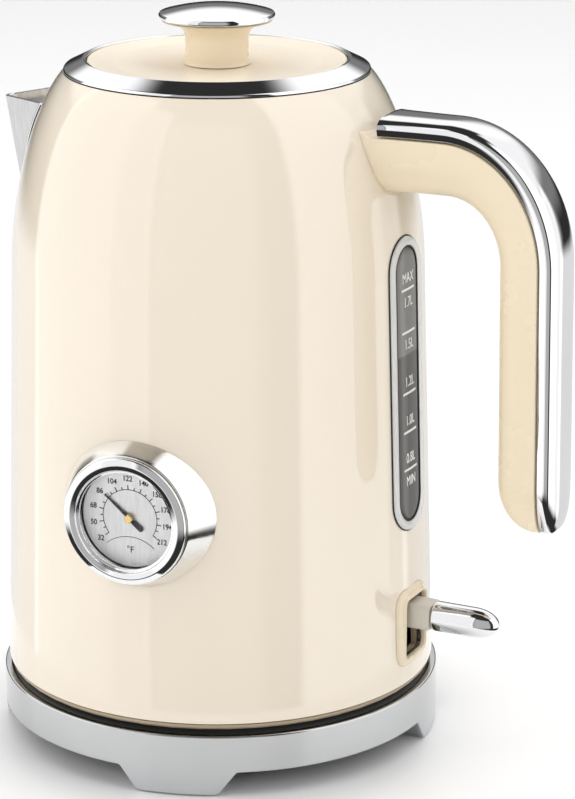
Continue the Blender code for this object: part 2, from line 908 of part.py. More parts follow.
def handle_stations():
    """Places along the handle, from its root inside the body to its tip.

    Each gives the point on the grip's inner side, the point where chrome meets grip, the point on the
    outer side, and the half width.
    """
    bend_x = handle_reach - handle_bend_out
    bend_z = handle_top - handle_bend_down
    split_out = handle_bend_out - trim_depth
    split_down = handle_bend_down - trim_depth_top
    inner_out = split_out - grip_depth
    inner_down = split_down - grip_depth_top
    root_x = 0.75 * neck_edge_radius
    stations = []
    for i in range(5):
        x = root_x + (bend_x - root_x) * i / 5
        flare = max(0.0, (bend_x - x) / (bend_x - 0.9 * neck_edge_radius)) ** 2
        width = handle_half_width + (handle_root_half_width - handle_half_width) * flare
        low = bend_z + inner_down - 2.2 * MM * flare
        heights = (low, bend_z + split_down, bend_z + handle_bend_down)
        stations.append([*(Vector((x, 0, z)) for z in heights), width])
    for i in range(9):
        angle = math.pi / 2 * (1 - i / 8)
        sides = [(inner_out, inner_down), (split_out, split_down)]
        sides.append((handle_bend_out, handle_bend_down))
        cosine, sine = math.cos(angle), math.sin(angle)
        points = [Vector((bend_x + a * cosine, 0, bend_z + b * sine)) for a, b in sides]
        stations.append([*points, handle_half_width])
    straight = bend_z - handle_bottom
    # Share of the straight run, then how far the inner side, outer side and flanks have drawn in
    for share, inner_in, outer_in, side_in in (
        (0.4, 0.0, 0.0, 0.0),
        (0.78, 0.0, 0.0, 0.0),
        (0.87, 0.1, 0.02, 0.03),
        (0.94, 0.3, 0.08, 0.12),
        (0.98, 0.55, 0.2, 0.3),
        (1.0, 0.8, 0.4, 0.55),
    ):
        z = bend_z - straight * share
        lean = handle_lean * share
        split = bend_x + split_out + lean
        points = [
            Vector((split - grip_depth * (1 - inner_in), 0, z)),
            Vector((split, 0, z)),
            Vector((split + trim_depth * (1 - outer_in), 0, z)),
        ]
        stations.append([*points, handle_half_width * (1 - side_in)])
    return stations


def rounded_side(flat, crown, half, radius):
    """One ring of the handle: square corners at flat, round ones of this radius at crown."""
    way = (crown - flat).normalized()
    side = Vector((0, 1, 0))
    depth = (crown - flat).length
    radius = min(radius, 0.95 * depth, 0.95 * half)
    points = [flat - side * half]
    for sign in (-1, 1):
        for i in range(5):
            angle = math.pi / 2 * (i / 4 if sign < 0 else 1 - i / 4)
            across = sign * (half - radius + radius * math.cos(angle))
            points.append(flat + way * (depth - radius + radius * math.sin(angle)) + side * across)
    points.append(flat + side * half)
    return points


def make_handle():
    stations = handle_stations()
    grip, trim = [], []
    for inner, split, outer, half in stations:
        way = (outer - inner).normalized()
        grip.append(rounded_side(split - way * gap / 2, inner, half, grip_corner))
        trim.append(rounded_side(split + way * gap / 2, outer, half, trim_corner))
    core = loft("handle_core", grip, cream_plastic)
    cover = loft("handle_trim", trim, chrome)
    boolean(core, outside_body)
    boolean(cover, outside_body)
    for hole in root_holes:
        boolean(core, hole)
    bracket = body_layer("handle_bracket", -body_wall - gap - bracket_sheet, -body_wall - gap, steel)
    low, high = root_screw_heights[0] - 7 * MM, root_screw_heights[1] + 5 * MM
    half = bracket_half_width
    outline = [(-half, low), (half, low), (half, high), (-half, high)]
    boolean(bracket, prism("bracket_outline", outline, 0, base_radius), "INTERSECT")
    for hole in root_holes:
        boolean(bracket, hole)
    for i, z in enumerate(root_screw_heights):
        seat = root_screw_seat(z)
        screw(f"handle_screw_{i + 1}", seat, seat + root_screw_reach, kettle_axis, along_x(0, 0, z))


make_handle()


def make_window():
    """The clear window under the handle, its gasket and the frame that clamps it from inside."""
    lens = body_layer("window_lens", gap, gap + lens_proud, glass)
    boolean(lens, prism("lens_outline", window_outline(0), 0, base_radius + 6 * MM), "INTERSECT")
    core = body_layer("lens_core", -body_wall, gap + 0.5 * lens_proud, None)
    inside = prism("lens_inside", window_outline(window_border + gap), 0, base_radius + 6 * MM)
    boolean(core, inside, "INTERSECT")
    boolean(lens, core, "UNION")
    for name, depth, border, material in (
        ("window_gasket", gap, 0.8 * MM, silicone),
        ("window_retainer", 2 * gap + 1 * MM, 0.0, grey_plastic),
    ):
        piece = body_layer(name, -body_wall - depth - 1 * MM, -body_wall - depth, material)
        outline, hole = window_outline(border), window_outline(window_border + 0.6 * MM)
        boolean(piece, prism(f"{name}_outline", outline, 0, base_radius), "INTERSECT")
        boolean(piece, prism(f"{name}_hole", hole, 0, base_radius + 1 * MM))


make_window()


def make_gauge():
    """The thermometer, modelled along its own axis, which points out of the jug's side."""
    front = gauge_face
    housing = turned(
        "gauge_housing",
        [
            (gauge_bore, front),
            (gauge_front_radius, front),
            (gauge_front_radius + 0.6 * MM, front - 1.2 * MM),
            (gauge_base_radius, body_radius(gauge_height) - 6.5 * MM),
            (gauge_bore, body_radius(gauge_height) - 6.5 * MM),
        ],
        chrome,
        gauge_axis,
        gauge_steps,
    )
    boolean(housing, outside_body)
    rise = gauge_bezel_height
    seat = front + gap
    inner = gauge_glass_radius
    profile = [
        (inner, seat + 0.4 * rise),
        (inner + 1.2 * MM, seat + 0.85 * rise),
        (inner + gauge_bezel_crest, seat + rise),
        (gauge_bezel_radius - 1.0 * MM, seat + 0.75 * rise),
        (gauge_bezel_radius, seat),
        (inner, seat),
    ]
    turned("gauge_bezel", profile, chrome, gauge_axis, gauge_steps)
    rod("gauge_lens", gauge_bore - gap, front - 1.2 * MM, front, glass, gauge_axis, gauge_steps)
    outer = gauge_bore - gap
    ring("gauge_dial", dial_hole, outer, dial_back, dial_front, dial_white, gauge_axis, gauge_steps)
    place = Matrix.Rotation(dial_reading, 4, "Z")
    low, high = dial_front + gap, dial_front + gap + pointer_sheet
    corners = (-pointer_sheet, -pointer_tail, low), (pointer_sheet, pointer_length, high)
    pointer = block("gauge_pointer", *corners, black_plastic, gauge_axis, where=place)
    boss = rod("pointer_boss", 1.6 * MM, low, high, None, gauge_axis, small_steps)
    spindle_low, spindle_high = dial_back - 0.1 * MM, high - 0.1 * MM
    radius = dial_hole - gap
    spindle = rod("pointer_spindle", radius, spindle_low, spindle_high, None, gauge_axis, screw_steps)
    boolean(pointer, boss, "UNION")
    boolean(pointer, spindle, "UNION")
    rod("gauge_hub", 1.2 * MM, high + gap / 2, high + gap / 2 + 0.8 * MM, brass, gauge_axis, 16)
    outer = dial_back - gap
    inside = body_radius(gauge_height, -body_wall)
    rod("gauge_probe", probe_radius, outer - probe_length, outer, steel, gauge_axis)
    seal = inside - 1.0 * MM
    ring("gauge_gasket", probe_radius + gap, 7 * MM, seal - 1.2 * MM, seal, silicone, gauge_axis)
    seal -= 1.2 * MM + gap
    nut = rod("gauge_nut", 7.5 * MM, seal - 3 * MM, seal, brass, gauge_axis, 6)
    boolean(nut, rod("nut_bore", probe_radius + gap, 0, gauge_face, None, gauge_axis))


dial_back = body_radius(gauge_height) + 2 * gap
dial_front = dial_back + 0.8 * MM
make_gauge()

# ---- Lid ----


def make_lid():
    edge = lid_disc_radius + gap
    turned(
        "lid_ring",
        [
            (edge, lid_ring_top),
            (edge + 4.2 * MM, lid_ring_top - 0.4 * MM),
            (neck_edge_radius - 1.6 * MM, lid_ring_top - 1.1 * MM),
            (neck_edge_radius - 0.6 * MM, lid_ring_top - 2.2 * MM),
            (neck_edge_radius, lid_seat),
            (neck_edge_radius - 3.5 * MM, lid_seat),
            (edge, dish_floor - lid_sheet),
        ],
        chrome,
        steps=outer_steps,
    )
    hole = screw_shank_radius + gap
    sheet = lid_sheet
    flat = lid_disc_radius - 8 * MM
    turned(
        "lid_cap",
        [
            (hole, dish_floor),
            (flat, dish_floor),
            (flat + 4.5 * MM, dish_floor + 0.3 * lid_dish_depth),
            (lid_disc_radius - 1.2 * MM, lid_ring_top - 0.3 * MM),
            (lid_disc_radius, lid_ring_top - 0.2 * MM),
            (lid_disc_radius, lid_ring_top - sheet),
            (flat + 4.5 * MM, dish_floor + 0.3 * lid_dish_depth - sheet),
            (flat, dish_floor - sheet),
            (hole, dish_floor - sheet),
        ],
        cream,
        steps=outer_steps,
    )
    low = body_top - neck_depth - 1 * MM
    outer = lid_plug_radius - 1 * MM
    wall = lid_plug_wall
    turned(
        "lid_plug",
        [
            (hole, plug_top),
            (outer, plug_top),
            (outer, low),
            (outer - wall, low),
            (outer - wall, plug_top - wall),
            (hole, plug_top - wall),
        ],
        grey_plastic,
        steps=inner_steps + 8,
    )
    middle = body_top - 0.55 * neck_depth
    seal_outer = neck_radius - slack
    profile = [
        (outer + gap, middle + 1.6 * MM),
        (seal_outer - 0.5 * MM, middle + 1.6 * MM),
        (seal_outer, middle),
        (seal_outer - 0.5 * MM, middle - 1.6 * MM),
        (outer + gap, middle - 1.6 * MM),
    ]
    turned("lid_seal", profile, silicone, steps=outer_steps)
    screw("knob_screw", plug_top - wall - gap, knob_flare_top - 3.5 * MM, kettle_axis, Matrix())


def make_knob():
    stem = knob_stem_radius
    flare = knob_flare_radius - stem
    profile = [(0, knob_flare_top), (knob_flare_radius - 0.3 * MM, knob_flare_top)]
    profile.append((knob_flare_radius, knob_flare_top - 0.4 * MM))
    for i in range(1, 6):
        angle = math.pi / 2 * i / 5
        height = knob_flare_top - 6 * MM + 5.4 * MM * math.cos(angle)
        profile.append((knob_flare_radius - flare * math.sin(angle), height))
    hole = screw_shank_radius + gap
    depth = knob_flare_top - 3 * MM
    profile += [(stem, knob_foot), (hole, knob_foot), (hole, depth), (0, depth)]
    turned("knob_stem", profile, cream_plastic, steps=gauge_steps)
    rim = cap_bottom + knob_cap_rim
    profile = [(0, rim + knob_cap_dome)]
    for share in (0.3, 0.6, 0.85):
        profile.append((share * (knob_cap_radius - 0.6 * MM), rim + knob_cap_dome * (1 - share**2)))
    profile += [
        (knob_cap_radius - 0.5 * MM, rim),
        (knob_cap_radius, rim - 0.8 * MM),
        (knob_cap_radius, cap_bottom + 0.3 * MM),
        (knob_cap_radius - 0.3 * MM, cap_bottom),
        (0, cap_bottom),
    ]
    turned("knob_cap", profile, chrome, steps=gauge_steps)


make_lid()
make_knob()
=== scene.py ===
"""The looks of a retro cordless electric kettle: cream enamel, chrome trim, a brushed steel spout, a thermometer
and a water window. Sizes inside the making functions are millimetres about the jug's own axis."""

import json
import math

import bmesh
import bpy
from mathutils import Matrix, Vector


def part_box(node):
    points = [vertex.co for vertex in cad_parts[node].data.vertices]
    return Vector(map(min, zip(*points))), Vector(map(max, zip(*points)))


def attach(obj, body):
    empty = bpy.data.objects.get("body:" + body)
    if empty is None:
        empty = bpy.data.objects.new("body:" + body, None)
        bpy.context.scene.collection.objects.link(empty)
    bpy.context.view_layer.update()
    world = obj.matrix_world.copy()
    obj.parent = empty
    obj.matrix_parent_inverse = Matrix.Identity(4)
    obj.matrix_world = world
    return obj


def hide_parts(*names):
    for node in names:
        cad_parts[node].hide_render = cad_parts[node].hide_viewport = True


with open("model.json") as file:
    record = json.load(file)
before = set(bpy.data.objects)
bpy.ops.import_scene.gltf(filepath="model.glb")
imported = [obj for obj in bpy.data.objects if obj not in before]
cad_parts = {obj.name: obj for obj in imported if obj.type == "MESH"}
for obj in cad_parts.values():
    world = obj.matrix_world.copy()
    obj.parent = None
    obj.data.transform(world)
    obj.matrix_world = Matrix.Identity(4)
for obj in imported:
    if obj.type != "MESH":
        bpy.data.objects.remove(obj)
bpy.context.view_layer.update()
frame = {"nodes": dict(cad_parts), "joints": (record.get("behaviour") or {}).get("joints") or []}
joints = {joint["name"]: joint for joint in frame["joints"]}

MM = 0.001


def span(node):
    """Lowest and highest corner of a node, in millimetres about the jug's axis."""
    low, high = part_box(node)
    return (low - jug_axis) / MM, (high - jug_axis) / MM


lid_low, lid_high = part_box("lid_cap")
jug_axis = Vector(((lid_low.x + lid_high.x) / 2, (lid_low.y + lid_high.y) / 2, 0.0))
jug_place = Matrix.Translation(jug_axis) @ Matrix.Scale(MM, 4)


def joint_place(name, out, up):
    """A place at a joint, with Z along out and Y along up, in millimetres."""
    side = up.cross(out)
    turn = Matrix((side, up, out)).transposed().to_4x4()
    return Matrix.Translation(Vector(joints[name]["pos_m"])) @ turn @ Matrix.Scale(MM, 4)


# ---- Sizes ----

seam = 0.3
round_steps = 192

shell_low, shell_high = span("body_shell")
jug_bottom, jug_top = shell_low.z, shell_high.z
bottom_radius = (shell_high.x - shell_low.x) / 2
shoulder_radius = bottom_radius - 4.1
shoulder_height = jug_bottom + 138.7
neck_edge_radius = 50.0
shell_wall = 1.0

window_low, window_high = span("window_lens")
window_half = (window_high.y - window_low.y) / 2
window_border = 3.7
water_line = 136.4

bezel_low, bezel_high = span("lever_bezel")
bezel_border = 3.1

gauge_out = -Vector(joints["gauge_pointer_turn"]["axis"])
gauge_height = joints["gauge_pointer_turn"]["pos_m"][2] / MM
gauge_place = jug_place @ Matrix.Translation((0, 0, gauge_height)) @ Matrix(
    (Vector((0, 0, 1)).cross(gauge_out), Vector((0, 0, 1)), gauge_out)
).transposed().to_4x4()
lever_place = Matrix.Translation(Vector(joints["lever_pivot"]["pos_m"])) @ Matrix.Scale(MM, 4)


# ---- Shared surface effects ----


def supply(tree, value, socket):
    """Gives a socket a plain value, or links it to another node's output."""
    if isinstance(value, bpy.types.NodeSocket):
        tree.links.new(value, socket)
    else:
        socket.default_value = value


def object_place(tree):
    return tree.nodes.new("ShaderNodeTexCoord").outputs["Object"]


def new_group(name, inputs, outputs):
    """An empty node group with named sockets. Returns it with its input and output nodes."""
    group = bpy.data.node_groups.new(name, "ShaderNodeTree")
    for label, kind, value in inputs:
        socket = group.interface.new_socket(label, in_out="INPUT", socket_type=kind)
        socket.default_value = value
    for label, kind in outputs:
        group.interface.new_socket(label, in_out="OUTPUT", socket_type=kind)
    return group, group.nodes.new("NodeGroupInput"), group.nodes.new("NodeGroupOutput")


def add_noise(group, vector, scale, detail=3.0):
    noise = group.nodes.new("ShaderNodeTexNoise")
    noise.inputs["Detail"].default_value = detail
    group.links.new(vector, noise.inputs["Vector"])
    supply(group, scale, noise.inputs["Scale"])
    return noise.outputs["Fac"]


def add_range(group, value, low, high, from_low=0.25, from_high=0.75):
    """Carries a value smoothly from one range to another."""
    node = group.nodes.new("ShaderNodeMapRange")
    node.interpolation_type = "SMOOTHSTEP"
    node.inputs["From Min"].default_value = from_low
    node.inputs["From Max"].default_value = from_high
    group.links.new(value, node.inputs["Value"])
    supply(group, low, node.inputs["To Min"])
    supply(group, high, node.inputs["To Max"])
    return node.outputs["Result"]


def add_mix(tree, factor, first, second):
    """Blends from a first colour to a second. Each is a plain colour or another node's output."""
    mix = tree.nodes.new("ShaderNodeMix")
    mix.data_type = "RGBA"
    tree.links.new(factor, mix.inputs["Factor"])
    supply(tree, first, mix.inputs["A"])
    supply(tree, second, mix.inputs["B"])
    return mix.outputs["Result"]


def make_handling_marks():
    """Faint cloudy wipe marks: roughness that wanders between two values."""
    group, given, made = new_group(
        "handling_marks",
        [
            ("Scale", "NodeSocketFloat", 30.0),
            ("Clean", "NodeSocketFloat", 0.05),
            ("Wiped", "NodeSocketFloat", 0.1),
        ],
        [("Roughness", "NodeSocketFloat")],
    )
    where = object_place(group)
    cloud = add_noise(group, where, given.outputs["Scale"], 5.0)
    group.links.new(
        add_range(group, cloud, given.outputs["Clean"], given.outputs["Wiped"]), made.inputs["Roughness"]
    )
    return group


def make_tint_drift():
    """A colour that drifts a little towards a second one, in soft patches."""
    group, given, made = new_group(
        "tint_drift",
        [
            ("Colour", "NodeSocketColor", (1, 1, 1, 1)),
            ("Towards", "NodeSocketColor", (1, 1, 1, 1)),
            ("Scale", "NodeSocketFloat", 20.0),
            ("Amount", "NodeSocketFloat", 0.3),
        ],
        [("Colour", "NodeSocketColor")],
    )
    where = object_place(group)
    patch = add_range(group, add_noise(group, where, given.outputs["Scale"]), 0.0, given.outputs["Amount"])
    drifted = add_mix(group, patch, given.outputs["Colour"], given.outputs["Towards"])
    group.links.new(drifted, made.inputs["Colour"])
    return group


def make_brushing():
    """Fine parallel scratches: noise squeezed across the grain and drawn out along it."""
    group, given, made = new_group(
        "brushing",
        [("Stretch", "NodeSocketVector", (1, 1, 1)), ("Scale", "NodeSocketFloat", 300.0)],
        [("Lines", "NodeSocketFloat")],
    )
    where = object_place(group)
    drawn = group.nodes.new("ShaderNodeVectorMath")
    drawn.operation = "MULTIPLY"
    group.links.new(where, drawn.inputs[0])
    group.links.new(given.outputs["Stretch"], drawn.inputs[1])
    lines = add_noise(group, drawn.outputs["Vector"], given.outputs["Scale"], 4.0)
    group.links.new(add_range(group, lines, 0.0, 1.0), made.inputs["Lines"])
    return group


def make_moulded_grain():
    """The even pimples of a spark-eroded mould or, at a larger scale, the ripple of fired enamel."""
    group, given, made = new_group(
        "moulded_grain", [("Scale", "NodeSocketFloat", 2500.0)], [("Height", "NodeSocketFloat")]
    )
    where = object_place(group)
    group.links.new(add_noise(group, where, given.outputs["Scale"], 2.0), made.inputs["Height"])
    return group


def make_rounds():
    """Fine rings about a centre, as a lathe or a rotary brush leaves on a disc."""
    group, given, made = new_group(
        "rounds",
        [("Centre", "NodeSocketVector", (0, 0, 0)), ("Scale", "NodeSocketFloat", 2000.0)],
        [("Lines", "NodeSocketFloat")],
    )
    where = object_place(group)
    gap = group.nodes.new("ShaderNodeVectorMath")
    gap.operation = "DISTANCE"
    group.links.new(where, gap.inputs[0])
    group.links.new(given.outputs["Centre"], gap.inputs[1])
    group.links.new(
        add_range(group, add_noise(group, gap.outputs["Value"], given.outputs["Scale"], 4.0), 0.0, 1.0),
        made.inputs["Lines"],
    )
    return group


handling_marks = make_handling_marks()
tint_drift = make_tint_drift()
brushing = make_brushing()
moulded_grain = make_moulded_grain()
rounds = make_rounds()

# ---- Materials ----


def new_material(name, **plain):
    """A Principled material with the values that are the same all over it."""
    material = bpy.data.materials.new(name)
    material.use_nodes = True
    shader = material.node_tree.nodes["Principled BSDF"]
    for label, value in plain.items():
        shader.inputs[label.replace("_", " ")].default_value = value
    return material


def place_group(material, group, **values):
    node = material.node_tree.nodes.new("ShaderNodeGroup")
    node.node_tree = group
    for label, value in values.items():
        node.inputs[label].default_value = value
    return node


def feed(material, output, label):
    shader = material.node_tree.nodes["Principled BSDF"]
    material.node_tree.links.new(output, shader.inputs[label])


def feed_bump(material, height, strength, distance=0.0002):
    bump = material.node_tree.nodes.new("ShaderNodeBump")
    bump.inputs["Strength"].default_value = strength
    bump.inputs["Distance"].default_value = distance
    material.node_tree.links.new(height, bump.inputs["Height"])
    feed(material, bump.outputs["Normal"], "Normal")


def rgb(red, green, blue):
    return (red, green, blue, 1.0)


def coated(name, colour, towards, clean, wiped, grain_scale, grain, **plain):
    """Enamel, plastic or rubber: a drifting tint, wipe marks and a moulded or fired surface."""
    material = new_material(name, **plain)
    tint = place_group(material, tint_drift, Colour=colour, Towards=towards, Scale=18.0, Amount=0.35)
    feed(material, tint.outputs["Colour"], "Base Color")
    marks = place_group(material, handling_marks, Scale=35.0, Clean=clean, Wiped=wiped)
    feed(material, marks.outputs["Roughness"], "Roughness")
    surface = place_group(material, moulded_grain, Scale=grain_scale)
    feed_bump(material, surface.outputs["Height"], grain)
    return material


def plated(name, colour, towards, clean, wiped):
    """Polished plating or bright metal with faint wipe marks."""
    material = new_material(name, Metallic=1.0)
    tint = place_group(material, tint_drift, Colour=colour, Towards=towards, Scale=40.0, Amount=0.6)
    feed(material, tint.outputs["Colour"], "Base Color")
    marks = place_group(material, handling_marks, Scale=45.0, Clean=clean, Wiped=wiped)
    feed(material, marks.outputs["Roughness"], "Roughness")
    return material


def brushed(name, colour, towards, group, low, high, bump, **where):
    """Metal with brush lines in its colour, its roughness and its surface."""
    material = new_material(name, Metallic=1.0, Anisotropic=0.5)
    lines = place_group(material, group, **where)
    tree = material.node_tree
    feed(material, add_mix(tree, lines.outputs["Lines"], colour, towards), "Base Color")
    spread = tree.nodes.new("ShaderNodeMapRange")
    spread.inputs["To Min"].default_value = low
    spread.inputs["To Max"].default_value = high
    tree.links.new(lines.outputs["Lines"], spread.inputs["Value"])
    feed(material, spread.outputs["Result"], "Roughness")
    feed_bump(material, lines.outputs["Lines"], bump, 0.0001)
    return material


cream_enamel = coated(
    "cream_enamel", rgb(0.84, 0.75, 0.62), rgb(0.83, 0.735, 0.60), 0.05, 0.08, 160.0, 0.01,
    Coat_Weight=1.0, Coat_Roughness=0.03, IOR=1.5,
)
lid_enamel = coated("lid_enamel", rgb(0.84, 0.75, 0.62), rgb(0.83, 0.735, 0.60), 0.32, 0.4, 160.0, 0.01)
cream_plastic = coated(
    "cream_plastic", rgb(0.83, 0.715, 0.53), rgb(0.815, 0.70, 0.51), 0.24, 0.32, 1800.0, 0.02, Coat_Weight=0.1
)
pearl_plastic = coated("pearl_plastic", rgb(0.62, 0.57, 0.5), rgb(0.5, 0.45, 0.38), 0.18, 0.3, 900.0, 0.05)
# painted shade: a darker copy of the cream plastic, standing in for the shade on the recessed band of the base housing
painted_shade_cream = coated(
    "painted_shade_cream", rgb(0.42, 0.34, 0.23), rgb(0.38, 0.3, 0.2), 0.35, 0.5, 1800.0, 0.05
)
brown_plastic = coated(
    "brown_plastic", rgb(0.035, 0.02, 0.014), rgb(0.05, 0.03, 0.02), 0.3, 0.45, 1500.0, 0.1
)
black_plastic = coated(
    "black_plastic", rgb(0.016, 0.016, 0.017), rgb(0.03, 0.03, 0.032), 0.35, 0.5, 2200.0, 0.2
)
grey_plastic = coated("grey_plastic", rgb(0.3, 0.3, 0.31), rgb(0.24, 0.24, 0.25), 0.35, 0.5, 2200.0, 0.15)
soft_rubber = coated("soft_rubber", rgb(0.02, 0.02, 0.02), rgb(0.04, 0.04, 0.04), 0.7, 0.85, 3000.0, 0.4)
seal_silicone = coated(
    "seal_silicone", rgb(0.7, 0.69, 0.66), rgb(0.6, 0.59, 0.55), 0.45, 0.6, 1500.0, 0.1, Subsurface_Weight=0.15
)
bright_chrome = plated("bright_chrome", rgb(0.9, 0.9, 0.91), rgb(0.84, 0.84, 0.86), 0.03, 0.07)
satin_chrome = plated("satin_chrome", rgb(0.86, 0.85, 0.83), rgb(0.8, 0.79, 0.77), 0.08, 0.14)
band_chrome = plated("band_chrome", rgb(0.59, 0.6, 0.61), rgb(0.54, 0.55, 0.56), 0.09, 0.16)
polished_brass = plated("polished_brass", rgb(0.83, 0.62, 0.26), rgb(0.72, 0.5, 0.19), 0.12, 0.3)
brushed_steel = brushed(
    "brushed_steel", rgb(0.8, 0.8, 0.8), rgb(0.7, 0.7, 0.7), brushing, 0.16, 0.26, 0.03,
    Stretch=(1.0, 1.0, 0.06), Scale=900.0,
)
turned_steel = brushed(
    "turned_steel", rgb(0.66, 0.66, 0.66), rgb(0.5, 0.5, 0.5), brushing, 0.22, 0.36, 0.08,
    Stretch=(0.05, 0.05, 1.0), Scale=900.0,
)
plate_steel = brushed(
    "plate_steel", rgb(0.66, 0.66, 0.66), rgb(0.5, 0.5, 0.5), rounds, 0.2, 0.34, 0.08,
    Centre=jug_axis, Scale=900.0,
)
dial_metal = brushed(
    "dial_metal", rgb(0.8, 0.8, 0.8), rgb(0.75, 0.75, 0.76), brushing, 0.45, 0.55, 0.02,
    Stretch=(1.0, 1.0, 0.1), Scale=1500.0,
)
dial_ink = coated("dial_ink", rgb(0.012, 0.012, 0.013), rgb(0.03, 0.03, 0.03), 0.45, 0.6, 3000.0, 0.1)
mark_ink = coated("mark_ink", rgb(0.88, 0.88, 0.87), rgb(0.8, 0.8, 0.79), 0.4, 0.55, 3000.0, 0.1)


def make_clear(name, colour, roughness, transmission, bending=1.46):
    """Clear moulded plastic or glass with the faintest ripple."""
    material = new_material(
        name, Base_Color=colour, Transmission_Weight=transmission, IOR=bending, Metallic=0.0
    )
    marks = place_group(material, handling_marks, Scale=60.0, Clean=roughness, Wiped=roughness + 0.03)
    feed(material, marks.outputs["Roughness"], "Roughness")
    ripple = place_group(material, moulded_grain, Scale=90.0)
    feed_bump(material, ripple.outputs["Height"], 0.01)
    return material


gauge_glass = make_clear("gauge_glass", rgb(1, 1, 1), 0.0, 1.0, 1.2)
clear_rim = make_clear("clear_rim", rgb(0.93, 0.93, 0.92), 0.06, 0.35)


def make_smoked_pane():
    """The window's clear pane: a smoky grey above the water line and, below it, colour painted darker as painted shade
    for the water standing behind its lower part.
    """
    material = make_clear("smoked_pane", rgb(1, 1, 1), 0.04, 0.35)
    tree = material.node_tree
    where = object_place(tree)
    split = tree.nodes.new("ShaderNodeSeparateXYZ")
    tree.links.new(where, split.inputs["Vector"])
    line = tree.nodes.new("ShaderNodeMapRange")
    line.inputs["From Min"].default_value = water_line * MM - 0.0004
    line.inputs["From Max"].default_value = water_line * MM + 0.0004
    tree.links.new(split.outputs["Z"], line.inputs["Value"])
    # painted shade: below the water line the pane's colour is darkened to stand in for the water behind it; above the
    # line it keeps its smoky grey
    painted_water_shade, pane_smoke_tone = rgb(0.1, 0.095, 0.085), rgb(0.26, 0.255, 0.24)
    feed(material, add_mix(tree, line.outputs["Result"], painted_water_shade, pane_smoke_tone), "Base Color")
    return material


smoked_pane = make_smoked_pane()

# ---- Making pieces ----


def new_object(name, data):
    """An object for some data, linked into the scene."""
    made = bpy.data.objects.new(name, data)
    bpy.context.scene.collection.objects.link(made)
    return made


def to_mesh(name, shape):
    mesh = bpy.data.meshes.new(name)
    shape.to_mesh(mesh)
    shape.free()
    return mesh


def around(radius, angle, height):
    """A point at an angle about Z."""
    return radius * math.cos(angle), radius * math.sin(angle), height


def put(name, mesh, material, body, nodes=(), sharp=35.0):
    """Turns a finished mesh into a piece that rides on a body and stands for its plain nodes. The material goes
    on unless the mesh already has its own."""
    piece = new_object(name, mesh)
    if not mesh.materials:
        mesh.materials.append(material)
    mesh.shade_smooth()
    mesh.set_sharp_from_angle(angle=math.radians(sharp))
    shading = piece.modifiers.new("Even shading", "WEIGHTED_NORMAL")
    shading.keep_sharp = True
    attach(piece, body)
    if nodes:
        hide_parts(*nodes)
    return piece


def finish_mesh(name, shape, place):
    """Turns the shape's faces outwards and moves the mesh into place."""
    bmesh.ops.recalc_face_normals(shape, faces=shape.faces)
    mesh = to_mesh(name, shape)
    mesh.transform(place)
    return mesh


def rounded(corners, steps=5):
    """A line through corners of (x, y) or (x, y, radius), with an arc wherever a radius is given."""
    line = []
    count = len(corners)
    for i, corner in enumerate(corners):
        here = Vector(corner[:2])
        if len(corner) < 3:
            line.append(tuple(here))
            continue
        back = Vector(corners[(i - 1) % count][:2]) - here
        ahead = Vector(corners[(i + 1) % count][:2]) - here
        turn = math.pi - back.angle(ahead)
        reach = min(corner[2] * math.tan(turn / 2), 0.48 * back.length, 0.48 * ahead.length)
        start, end = here + back.normalized() * reach, here + ahead.normalized() * reach
        for step in range(steps + 1):
            t = step / steps
            line.append(tuple((1 - t) ** 2 * start + 2 * t * (1 - t) * here + t * t * end))
    return line


def skin(shape, rings, closed=False, capped=False):
    """Quads between rings of equal length. Closed joins the last ring to the first."""
    rows = [[shape.verts.new(point) for point in ring] for ring in rings]
    pairs = list(zip(rows, rows[1:])) + ([(rows[-1], rows[0])] if closed else [])
    for one, two in pairs:
        for i in range(len(one)):
            j = (i + 1) % len(one)
            shape.faces.new((one[i], one[j], two[j], two[i]))
    if capped:
        shape.faces.new(rows[0][::-1])
        shape.faces.new(rows[-1])
    return rows


def turned(name, line, place=jug_place, steps=round_steps):
    """A solid of revolution about Z. A line that starts and ends at radius 0 is closed by its two poles."""
    shape = bmesh.new()
    on_axis = line[0][0] == 0 and line[-1][0] == 0
    profile = line[1:-1] if on_axis else line
    angles = [math.tau * i / steps for i in range(steps)]
    rings = [[around(r, a, z) for a in angles] for r, z in profile]
    rows = skin(shape, rings, closed=not on_axis)
    if on_axis:
        for row, (_, z) in ((rows[0], line[0]), (rows[-1], line[-1])):
            pole = shape.verts.new((0, 0, z))
            for i in range(steps):
                shape.faces.new((row[i], row[(i + 1) % steps], pole))
    return finish_mesh(name, shape, place)


def rectangle(half, low, high, radius, steps=6):
    corners = [(-half, low, radius), (half, low, radius), (half, high, radius), (-half, high, radius)]
    return rounded(corners, steps)


def stadium(low, high, half, steps=16):
    """Points round an upright outline with round ends, as (across, height)."""
    points = []
    for centre, start in ((high - half, 0.0), (low + half, math.pi)):
        for i in range(steps + 1):
            angle = start + math.pi * i / steps
            points.append((half * math.cos(angle), centre + half * math.sin(angle)))
    return points


def shoulder_curve(count):
    """The enamel's curve from the neck's edge down to the straight side, as one Bezier arc."""
    rise = jug_top - shoulder_height
    tuck = shoulder_radius - neck_edge_radius
    ends = (
        Vector((neck_edge_radius, jug_top)),
        Vector((neck_edge_radius + 0.615 * tuck, jug_top - 0.204 * rise)),
        Vector((shoulder_radius - 0.028 * tuck, shoulder_height + 0.3 * rise)),
        Vector((shoulder_radius, shoulder_height)),
    )
    points = []
    for i in range(count + 1):
        t = i / count
        weights = ((1 - t) ** 3, 3 * t * (1 - t) ** 2, 3 * t * t * (1 - t), t**3)
        points.append(sum((w * end for w, end in zip(weights, ends)), Vector((0, 0))))
    return points


